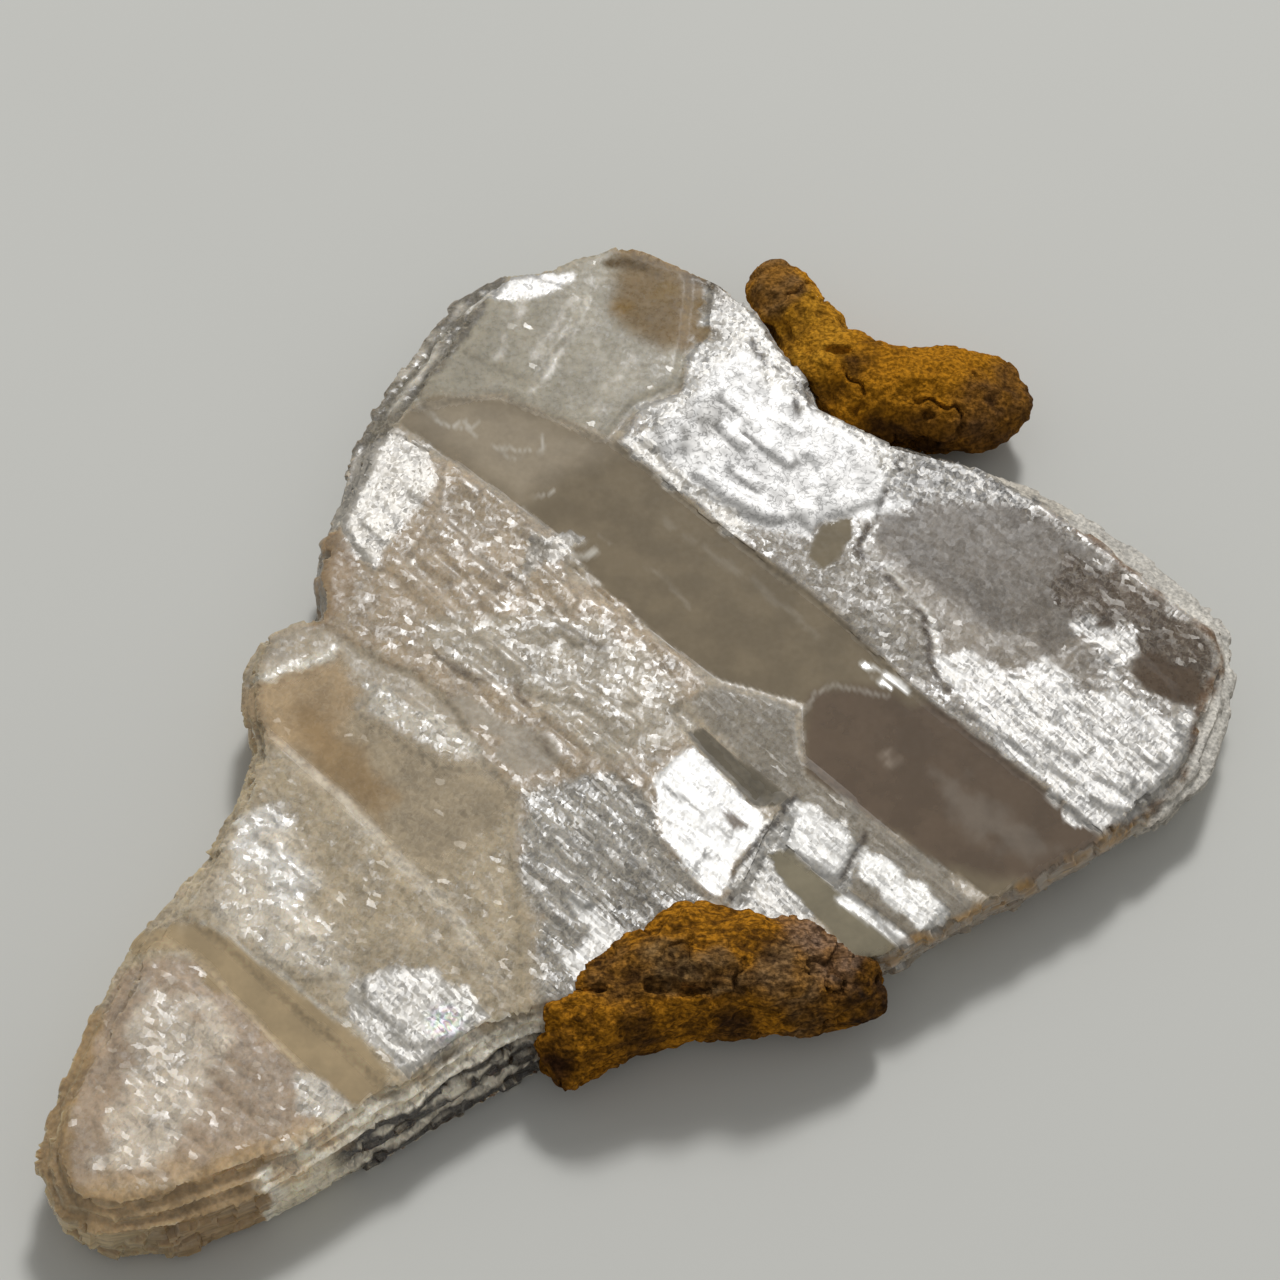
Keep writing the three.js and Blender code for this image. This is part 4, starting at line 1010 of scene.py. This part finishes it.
class Graph:
    """A node tree that is being written."""

    def __init__(self, tree: bpy.types.NodeTree) -> None:
        """Starts on a tree, which loses its nodes."""
        self.tree = tree
        tree.nodes.clear()

    def set(self, socket: Socket, value: object) -> None:
        """Links a socket to another, or gives it a plain value."""
        if isinstance(value, Socket):
            self.tree.links.new(value, socket)
        elif value is not None:
            socket.default_value = value

    def add(self, kind: str, inputs: Inputs | None = None, **settings: object) -> bpy.types.Node:
        """Adds a node.

        Args:
            kind: The node's type name, without its first word.
            inputs: Sockets by name or number, each with a value or the socket that feeds it.
            **settings: The node's own settings.

        Returns:
            The new node.
        """
        node = self.tree.nodes.new(kind if kind.startswith("NodeGroup") else "ShaderNode" + kind)
        for name, value in settings.items():
            setattr(node, name, value)
        for key, value in (inputs or {}).items():
            self.set(node.inputs[key], value)
        return node

    def group(self, tree: bpy.types.NodeTree, **values: object) -> bpy.types.Node:
        """Adds a node group, with values for its inputs by name."""
        inputs = {name.replace("_", " "): value for name, value in values.items()}
        return self.add("Group", inputs, node_tree=tree)

    def math(self, operation: str, *values: object, clamp: bool = False) -> Socket:
        """One step of arithmetic."""
        node = self.add("Math", dict(enumerate(values)), operation=operation)
        node.use_clamp = clamp
        return node.outputs[0]

    def times(self, value: object, factor: object) -> Socket:
        """A product."""
        return self.math("MULTIPLY", value, factor)

    def times_plus(self, value: object, factor: object, more: object) -> Socket:
        """A product added to another value."""
        return self.math("MULTIPLY_ADD", value, factor, more)

    def centred(self, value: object) -> Socket:
        """A value from 0 to 1, taken to -0.5 to 0.5."""
        return self.math("SUBTRACT", value, 0.5)

    def vector(self, operation: str, *values: object) -> Socket:
        """One step of vector arithmetic."""
        return self.add("VectorMath", dict(enumerate(values)), operation=operation).outputs["Vector"]

    def scaled(self, vector: object, scale: object) -> Socket:
        """A vector made longer or shorter."""
        return self.add("VectorMath", {0: vector, "Scale": scale}, operation="SCALE").outputs["Vector"]

    def mix(self, share: object, a: object, b: object, blend: str = "MIX") -> Socket:
        """A mix of two colours."""
        node = self.add("Mix", data_type="RGBA", blend_type=blend)
        for socket, value in ((node.inputs[0], share), (node.inputs[6], a), (node.inputs[7], b)):
            self.set(socket, value)
        return node.outputs[2]

    def gained(self, colour: object, gain: float) -> Socket:
        """A colour times a number."""
        return self.mix(1.0, colour, (gain, gain, gain, 1.0), "MULTIPLY")

    def shaded(self, colour: object, shade: object) -> Socket:
        """A colour made lighter or darker by a factor."""
        grey = self.add("CombineColor", dict.fromkeys(range(3), shade)).outputs[0]
        return self.mix(1.0, colour, grey, "MULTIPLY")

    def ramp(self, value: object, low: float, high: float, out: Sequence[float] = (0.0, 1.0)) -> Socket:
        """A value taken smoothly from one range to another."""
        inputs = {"Value": value, "From Min": low, "From Max": high, "To Min": out[0], "To Max": out[1]}
        return self.add("MapRange", inputs, interpolation_type="SMOOTHSTEP").outputs["Result"]

    def noise(self, place: Socket, size: float, detail: float = 2.0, output: str = "Fac") -> Socket:
        """Noise whose bumps are about size millimetres wide, from 0 to 1."""
        inputs = {"Vector": place, "Scale": 1 / (size * MM), "Detail": detail}
        return self.add("TexNoise", inputs).outputs[output]

    def place(self) -> Socket:
        """Where a point lies, in the object's own coordinates."""
        return self.add("TexCoord").outputs["Object"]

    def warped(self, size: float, reach: float) -> Socket:
        """The place of a point, pushed to and fro.

        Args:
            size: How wide one push is, in millimetres.
            reach: How far the strongest one goes, in millimetres.
        """
        push = self.vector("SUBTRACT", self.noise(self.place(), size, output="Color"), HALF)
        return self.vector("ADD", self.place(), self.scaled(push, 2 * reach * MM))

    def cells(self, place: Socket, size: tuple[float, float], angle: float) -> Socket:
        """Three even random numbers, from -0.5 to 0.5, for each rough rhomb of a plan.

        Args:
            place: Where a point lies.
            size: A rhomb's size along the direction and across it, in millimetres.
            angle: The direction, in radians from +X.
        """
        cross = angle + CROSS_ANGLE - BAND_ANGLE
        steps = []
        for turn, length in ((cross, -size[0] * MM), (angle, size[1] * MM)):
            axis = (-math.sin(turn) / length, math.cos(turn) / length, 0.0)
            step = self.add("VectorMath", {0: place, 1: axis}, operation="DOT_PRODUCT")
            steps.append(step.outputs["Value"])
        grid = self.add("CombineXYZ", dict(enumerate(steps))).outputs[0]
        settings = {"voronoi_dimensions": "2D", "distance": "CHEBYCHEV"}
        cell = self.add("TexVoronoi", {"Vector": grid, "Scale": 1.0}, **settings)
        return self.vector("SUBTRACT", cell.outputs["Color"], HALF)

    def bump(self, field: Socket, height: float, normal: Socket | None = None) -> Socket:
        """The normal of a face that a field from 0 to 1 raises by up to height millimetres."""
        raised = self.times(field, height * MM)
        inputs = {"Height": raised, "Distance": 1.0, "Strength": 1.0, "Normal": normal}
        return self.add("Bump", inputs).outputs[0]

    def channels(self, colour: Socket) -> list[Socket]:
        """The red, green and blue of a colour or painted mask."""
        return list(self.add("SeparateColor", {0: colour}).outputs)

    def mask(self, name: str) -> bpy.types.Node:
        """A painted mask."""
        return self.add("Attribute", attribute_name=name)


def node_group(
    name: str, inputs: dict[str, float], outputs: dict[str, str]
) -> tuple[Graph, bpy.types.Node, bpy.types.Node]:
    """Starts a shader node group.

    Args:
        name: The group's name.
        inputs: Its number inputs and their usual values.
        outputs: Its outputs and what each one is: Float, Vector or Color.

    Returns:
        The graph to write in, the node that gives its inputs and the node that takes its outputs.
    """
    tree = bpy.data.node_groups.new(name, "ShaderNodeTree")
    graph = Graph(tree)
    for label, value in inputs.items():
        socket = tree.interface.new_socket(label, in_out="INPUT", socket_type="NodeSocketFloat")
        socket.default_value = value
    for label, kind in outputs.items():
        tree.interface.new_socket(label, in_out="OUTPUT", socket_type="NodeSocket" + kind)
    return graph, graph.add("NodeGroupInput"), graph.add("NodeGroupOutput")


# ---- Shared effects --------------------------------------------------------------------------


@dataclass(frozen=True)
class Planes:
    """The cleavage planes of one size, too small for the mesh."""

    size: tuple[float, float]  # mm, along a row of them and across it
    angle: float  # the way the rows run, in radians from +X
    tilt: float  # about twice their greatest slope
    shade: float  # how much they differ in shade
    flashing: bool = True  # whether some of them lean with the split sheets and are painted paler as a highlight


BANDS = Planes((0.95, 0.17), BAND_ANGLE, 0.2, 0.7)
PLATES = Planes((0.42, 0.26), BAND_ANGLE + 0.3, 0.22, 0.8)
SPARKS = Planes((0.2, 0.12), CROSS_ANGLE + 0.2, 0.18, 0.7, flashing=False)
FOLD_TILT = 0.42  # the same for the folds of a crumpled sheet
CURL_SHADE = -0.4  # how the ridges of a crumpled sheet differ in shade
FLASH_LEAN = 0.6  # how far a flashing plane turns to the split sheets


@cache
def cleavage_group() -> bpy.types.NodeTree:
    """The finest cleavage of the calcite: planes too small for the mesh, each tilted its own way.

    Returns:
        A group that takes how strong the streaks, flakes and crumples are, the slope of the split
        sheets, the share of the flakes that lean with them and how far the rest does. It gives the
        tilted normal, a lighter or darker shade around 0 for each plane, and a mask of pale flecks,
        which also paints a highlight on the flakes that lean to mirror the lamps.
    """
    labels = ("Streaks", "Flakes", "Crumple", "Slope X", "Slope Y", "Flashes", "Facing")
    outputs = {"Normal": "Vector", "Shade": "Float", "Fleck_And_Glint": "Float"}
    graph, given, wanted = node_group("fine_cleavage", dict.fromkeys(labels, 0.0), outputs)
    streaks, flakes, crumple, slope_x, slope_y, flashes, facing = given.outputs[: len(labels)]
    grainy = graph.math("ADD", streaks, flakes, clamp=True)
    place = graph.warped(0.5, 0.14)
    folds = graph.vector("SUBTRACT", graph.noise(place, 0.9, detail=3.0, output="Color"), HALF)
    ridges = graph.noise(graph.warped(0.5, 0.3), 0.42)
    curl = graph.ramp(graph.math("ABSOLUTE", graph.centred(ridges)), 0.01, 0.05, (1.0, 0.0))
    curled = graph.times(curl, crumple)
    facing = graph.times_plus(curled, -1.0, facing)
    slope = graph.add("CombineXYZ", {0: slope_x, 1: slope_y}).outputs[0]
    limit = graph.centred(flashes)
    lean, shade, lit = (0.0, 0.0, 0.0), 0.0, []
    for planes, strength in ((BANDS, streaks), (PLATES, flakes), (SPARKS, grainy)):
        cells = graph.cells(place, planes.size, planes.angle)
        lean = graph.vector("ADD", lean, graph.scaled(cells, graph.times(strength, planes.tilt)))
        own_shade, glow, chance = graph.channels(cells)
        shade = graph.times_plus(own_shade, graph.times(strength, planes.shade), shade)
        if planes.flashing:
            there = graph.math("GREATER_THAN", strength, 0.04)
            picked = graph.times(graph.math("LESS_THAN", chance, limit), there)
            lit.append(graph.times(picked, graph.ramp(glow, -0.5, 0.4, (0.2, 1.0))))
    lean = graph.vector("ADD", lean, graph.scaled(folds, graph.times(crumple, FOLD_TILT)))
    lean = graph.vector("ADD", lean, graph.scaled(slope, facing))
    lit = graph.math("MAXIMUM", *lit)
    share = graph.times(lit, FLASH_LEAN)
    aligned = graph.add("Mix", {0: share, 4: lean, 5: slope}, data_type="VECTOR").outputs[1]
    normal = graph.vector("SUBTRACT", graph.add("NewGeometry").outputs["Normal"], aligned)
    graph.set(wanted.inputs["Normal"], graph.vector("NORMALIZE", normal))
    shade = graph.times_plus(curled, CURL_SHADE, shade)
    graph.set(wanted.inputs["Shade"], shade)
    pale = graph.ramp(graph.times_plus(shade, 0.8, glow), 0.4, 0.55)
    pale = graph.times(graph.math("MAXIMUM", pale, graph.times(curl, 0.7)), grainy)
    # painted highlight: flakes turned to mirror the lamps are painted paler as well
    graph.set(wanted.inputs["Fleck_And_Glint"], graph.math("MAXIMUM", pale, graph.times(lit, 0.5)))
    return graph.tree


@cache
def clouds_group() -> bpy.types.NodeTree:
    """Cloudy variation that every finish carries: broad patches and fine grain."""
    outputs = {"Cloud": "Float", "Speck": "Float"}
    graph, given, wanted = node_group("clouds", {"Size": 3.0, "Grain": 0.4}, outputs)
    place = graph.place()
    for label, size in (("Cloud", "Size"), ("Speck", "Grain")):
        scale = graph.math("DIVIDE", 1 / MM, given.outputs[size])
        field = graph.add("TexNoise", {"Vector": place, "Scale": scale, "Detail": 3.0})
        graph.set(wanted.inputs[label], graph.ramp(field.outputs["Fac"], 0.3, 0.7))
    return graph.tree


@cache
def sheets_group() -> bpy.types.NodeTree:
    """The thin sheets that show on a broken side, as lines around the plate."""
    graph, given, wanted = node_group("sheets", {"Side": 0.0}, {"Shade": "Float"})
    layered = graph.vector("MULTIPLY", graph.place(), (0.22, 0.22, 1.7))
    lines = graph.noise(layered, 0.32, detail=3.5)
    graph.set(wanted.inputs["Shade"], graph.times(graph.centred(lines), given.outputs["Side"]))
    return graph.tree


# ---- Finishes --------------------------------------------------------------------------------


def opaque(code: str, gain: float = 1.0) -> tuple[float, ...]:
    """The linear colour of a hex code times a gain, as a socket takes it."""
    return (*(gain * linear(code)), 1.0)


@dataclass(frozen=True)
class Coat:
    """A material with one main shader. Each kind adds the nodes that feed it."""

    name: str = "coat"

    def inputs(self, graph: Graph) -> Inputs:
        """Adds the nodes before the shader and gives the shader's inputs."""
        return {}

    def volume(self, graph: Graph) -> Socket | None:
        """Adds what lies inside, where light gets in."""
        return None

    @cache
    def material(self) -> bpy.types.Material:
        """Builds the finish, once for all that wears it."""
        material = bpy.data.materials.new(self.name)
        material.use_nodes = True
        graph = Graph(material.node_tree)
        shader = graph.add("BsdfPrincipled", self.inputs(graph))
        graph.add("OutputMaterial", {"Surface": shader.outputs[0], "Volume": self.volume(graph)})
        return material


@dataclass(frozen=True)
class Calcite(Coat):
    """What every finish of the crystal shares: its tone, its fine cleavage and its gloss."""

    ior: float = 1.66
    fleck_tone: str = "e6dcc9"
    fleck_share: float = 0.38  # how much of that tone the palest flecks and the painted highlight of lamp-facing flakes take
    contrast: float = 0.7  # how much the smallest planes differ in shade
    cloudy: float = 0.1  # how much broad patches do
    layered: float = 1.5  # how much the sheets of a broken side do
    speckled: float = 0.45  # how much the grains of a frosted face do
    film_share: float = 0.45  # how much of a thin split's colours shows
    glossy: float = 0.12
    dull: float = 0.6

    def inputs(self, graph: Graph) -> Inputs:
        """Adds the nodes before the shader and gives the shader's inputs."""
        cloud, speck = graph.group(clouds_group(), Size=2.2, Grain=0.3).outputs
        relief = graph.mask("relief")
        streaks, flakes, crumple = graph.channels(relief.outputs["Color"])
        flakes = graph.math("ADD", flakes, relief.outputs["Alpha"])
        lean = graph.mask("lean")
        slope_x, slope_y, flashes = graph.channels(lean.outputs["Color"])
        fine = graph.group(
            cleavage_group(), Streaks=streaks, Flakes=flakes, Crumple=crumple, Slope_X=slope_x,
            Slope_Y=slope_y, Flashes=flashes, Facing=lean.outputs["Alpha"],
        )
        normal, planes, fleck_and_glint = fine.outputs
        frost, side, rainbow = graph.channels(graph.mask("finish").outputs["Color"])
        sheets = graph.group(sheets_group(), Side=side).outputs["Shade"]
        shade = graph.times_plus(planes, self.contrast, 1.0)
        shade = graph.math("ADD", shade, graph.ramp(cloud, 0.0, 1.0, (-self.cloudy, self.cloudy)))
        shade = graph.times_plus(sheets, self.layered, shade)
        shade = graph.times_plus(graph.times(graph.centred(speck), frost), self.speckled, shade)
        colour = graph.shaded(graph.mask("tone").outputs["Color"], shade)
        # pale flecks, with the painted highlight of the flakes that mirror the lamps
        colour = graph.mix(graph.times(fleck_and_glint, self.fleck_share), colour, opaque(self.fleck_tone))
        colour = graph.mix(graph.times(rainbow, self.film_share), colour, self.film(graph))
        dullness = graph.times_plus(speck, 0.12, frost)
        roughness = graph.ramp(dullness, 0.0, 1.0, (self.glossy, self.dull))
        return {"Base Color": colour, "Roughness": roughness, "Normal": normal, "IOR": self.ior}

    def film(self, graph: Graph) -> Socket:
        """The colours of a thin split in the calcite, which change from place to place."""
        hue = graph.times(graph.noise(graph.place(), 0.5, detail=1.0), 3.0)
        colour = {0: graph.math("FRACT", hue), 1: 0.55, 2: 0.95}
        return graph.add("CombineColor", colour, mode="HSV").outputs[0]


@dataclass(frozen=True)
class ClearCalcite(Calcite):
    """Calcite that lets light through, as in the smooth growth bands."""

    name: str = "clear_calcite"
    transmission: float = 0.5
    gain: float = 2.0  # makes up for the share of its tone that the light passes by
    absorbed: tuple[float, float, float, float] = (0.78, 0.66, 0.46, 1.0)
    density: float = 70.0  # per metre

    def inputs(self, graph: Graph) -> Inputs:
        """Adds the nodes before the shader and gives the shader's inputs."""
        inputs = super().inputs(graph)
        colour = graph.gained(inputs["Base Color"], self.gain)
        return inputs | {"Base Color": colour, "Transmission Weight": self.transmission}

    def volume(self, graph: Graph) -> Socket:
        """Adds what the light loses on its way."""
        inputs = {"Color": self.absorbed, "Density": self.density}
        return graph.add("VolumeAbsorption", inputs).outputs[0]


@dataclass(frozen=True)
class MilkyCalcite(Calcite):
    """Calcite clouded by its own cleavage: light sinks in and comes out again near by."""

    name: str = "milky_calcite"
    scatter: float = 0.4  # share of the light that sinks in
    reach: float = 0.9  # mm that it travels
    reach_of_colours: tuple[float, float, float] = (1.0, 0.72, 0.45)

    def inputs(self, graph: Graph) -> Inputs:
        """Adds the nodes before the shader and gives the shader's inputs."""
        scatter = {
            "Subsurface Weight": self.scatter,
            "Subsurface Scale": self.reach * MM,
            "Subsurface Radius": self.reach_of_colours,
        }
        return super().inputs(graph) | scatter


@dataclass(frozen=True)
class PearlyCalcite(Calcite):
    """Calcite whose many split sheets throw the light back before it gets far."""

    name: str = "pearly_calcite"
    ior: float = 2.0
    fleck_share: float = 0.7
    contrast: float = 0.55
    roughness: float = 0.4
    mirror: float = 0.12  # metallic share
    body: float = 0.6  # share of the tone that shows where no light is mirrored

    def inputs(self, graph: Graph) -> Inputs:
        """Adds the nodes before the shader and gives the shader's inputs."""
        inputs = super().inputs(graph)
        colour = graph.gained(inputs["Base Color"], self.body)
        return inputs | {"Base Color": colour, "Metallic": self.mirror, "Roughness": self.roughness}


@dataclass(frozen=True)
class FrostedCrust(Calcite):
    """The granular crust on the plate's rim."""

    name: str = "frosted_crust"
    ior: float = 1.5
    contrast: float = 0.4
    grain: float = 0.16  # mm across one grain
    height: float = 0.06  # mm that it stands up

    def inputs(self, graph: Graph) -> Inputs:
        """Adds the nodes before the shader and gives the shader's inputs."""
        inputs = super().inputs(graph)
        grains = graph.noise(graph.place(), self.grain, detail=3.0)
        colour = graph.shaded(inputs["Base Color"], graph.ramp(grains, 0.3, 0.7, (0.72, 1.14)))
        normal = graph.bump(grains, self.height, inputs["Normal"])
        return inputs | {"Base Color": colour, "Normal": normal}


@dataclass(frozen=True)
class IronOxide(Coat):
    """Earthy rust: ochre powder on dark brown, rough and pitted."""

    name: str = "earthy_rust"
    powder_tone: str = "b57a1e"
    dark_tone: str = "2c1b10"
    powder: float = 0.45  # how much of it lies where it lies thickest
    hollow_dark: float = 0.5  # how much darker the hollows are
    pits: float = 0.25  # mm deep
    roughness: float = 0.9
    specular: float = 0.04

    def inputs(self, graph: Graph) -> Inputs:
        """Adds the nodes before the shader and gives the shader's inputs."""
        cloud, speck = graph.group(clouds_group(), Size=1.1, Grain=0.2).outputs
        hollow, layer, crusty = graph.channels(graph.mask("finish").outputs["Color"])
        tone, dark = graph.mask("tone").outputs["Color"], opaque(self.dark_tone)
        colour = graph.mix(graph.times(cloud, self.powder), tone, opaque(self.powder_tone))
        crust = graph.noise(graph.warped(0.8, 0.3), 0.5, detail=5.0)
        crust = graph.ramp(graph.times_plus(layer, -0.12, crust), 0.5, 0.62)
        laid = graph.vector("MULTIPLY", graph.warped(1.2, 0.25), (0.3, 1.3, 1.3))
        seams = graph.ramp(graph.noise(laid, 0.3, detail=4.0), 0.5, 0.58)
        for share in (crust, seams):
            colour = graph.mix(graph.times(share, crusty), colour, dark)
        colour = graph.shaded(colour, graph.ramp(speck, 0.0, 1.0, (0.55, 1.2)))
        colour = graph.mix(graph.times(hollow, self.hollow_dark), colour, dark)
        normal = graph.bump(graph.noise(graph.place(), 0.3, detail=5.0), self.pits)
        surface = {"Base Color": colour, "Roughness": self.roughness, "Normal": normal}
        return surface | {"Specular IOR Level": self.specular}


@dataclass(frozen=True)
class PaleFloor(Coat):
    """A plain pale surface to lie on."""

    name: str = "pale_floor"
    tone: str = "d4d4cf"
    shade: float = 0.97  # its darkest patches against its palest
    roughness: float = 0.8

    def inputs(self, graph: Graph) -> Inputs:
        """Adds the nodes before the shader and gives the shader's inputs."""
        cloud = graph.group(clouds_group(), Size=60.0).outputs["Cloud"]
        colour = graph.mix(cloud, opaque(self.tone, self.shade), opaque(self.tone))
        return {"Base Color": colour, "Roughness": self.roughness}


# ---- The studio ------------------------------------------------------------------------------


@dataclass(frozen=True)
class Lamp:
    """A round lamp that faces the object."""

    name: str
    towards: tuple[float, float, float]  # the direction from the object to the lamp
    spread: float  # half the angle that it fills, seen from the object, in degrees
    radiance: float  # how bright its face is
    distance: float = 1.0  # m

    def hang(self, middle: Vector) -> None:
        """Adds the lamp, facing a place in metres."""
        direction = Vector(self.towards).normalized()
        light = bpy.data.lights.new(self.name, "AREA")
        light.shape = "DISK"
        light.size = 2 * self.distance * math.tan(math.radians(self.spread))
        light.energy = self.radiance * math.pi * math.pi * (light.size / 2) ** 2
        lamp = placed(self.name, light)
        lamp.location = middle + direction * self.distance
        lamp.rotation_euler = direction.to_track_quat("Z", "Y").to_euler()
        lamp.visible_camera = False


LAMP_SIDE = (0.135, 0.645, 0.752)  # above the far edge, a little to the right


@dataclass(frozen=True)
class Studio:
    """A pale floor, soft light and the camera."""

    subject: tuple[float, float, float] = (-1.218, 2.893, 4.6)  # mm, what the camera looks at
    distance: float = 160.0  # mm
    elevation: float = math.radians(60)
    focal_length: float = 90.0
    sensor: float = 36.0
    floor_size: float = 3.0  # m
    world: tuple[float, float, float] = (0.33, 0.33, 0.33 * 0.985)
    bounces: int = 5
    lamps: tuple[Lamp, ...] = (
        Lamp("softbox", LAMP_SIDE, spread=9.5, radiance=6.5),
        Lamp("key", LAMP_SIDE, spread=4.5, radiance=66.0),
    )

    def build(self) -> None:
        """Sets up everything around the object."""
        self.place_camera()
        self.lay_floor()
        self.light_room()
        for lamp in self.lamps:
            lamp.hang(Vector(self.subject) * MM)
        scene = bpy.context.scene
        scene.view_settings.view_transform = "Standard"
        scene.cycles.max_bounces = self.bounces
        scene.cycles.transmission_bounces = self.bounces

    def place_camera(self) -> None:
        """Places the camera in front of the object, looking down on it."""
        camera = placed("camera", bpy.data.cameras.new("camera"))
        camera.data.lens = self.focal_length
        camera.data.sensor_width = self.sensor
        camera.data.clip_start = 0.01
        away = Vector((0, -math.cos(self.elevation), math.sin(self.elevation)))
        camera.location = (Vector(self.subject) + away * self.distance) * MM
        camera.rotation_euler = away.to_track_quat("Z", "Y").to_euler()
        bpy.context.scene.camera = camera

    def lay_floor(self) -> None:
        """Lays the floor under the plate's lower face."""
        mesh = bpy.data.meshes.new("pale_floor")
        half = self.floor_size / 2
        corners = [(-half, -half, 0), (half, -half, 0), (half, half, 0), (-half, half, 0)]
        mesh.from_pydata(corners, [], [(0, 1, 2, 3)])
        floor = placed("pale_floor", mesh)
        mesh.materials.append(PaleFloor().material())

    def light_room(self) -> None:
        """Fills the room with even light."""
        world = bpy.data.worlds.new("room")
        world.use_nodes = True
        background = world.node_tree.nodes["Background"]
        background.inputs["Color"].default_value = (*self.world, 1.0)
        bpy.context.scene.world = world


def main() -> None:
    """Builds and dresses every piece, in order."""
    logging.basicConfig(level=logging.INFO, format="%(name)s: %(message)s")
    Studio().build()
    pieces = [CalciteCrystal().build()]
    for lump in (FAR_LUMP, NEAR_LUMP):
        pieces.append(lump.build(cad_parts["calcite_crystal"]))
    for piece in pieces:
        mesh = piece.object.data
        mesh.calc_loop_triangles()
        log.info("%s: %d triangles", piece.object.name, len(mesh.loop_triangles))
    bpy.context.view_layer.update()


if __name__ == "__main__":
    main()
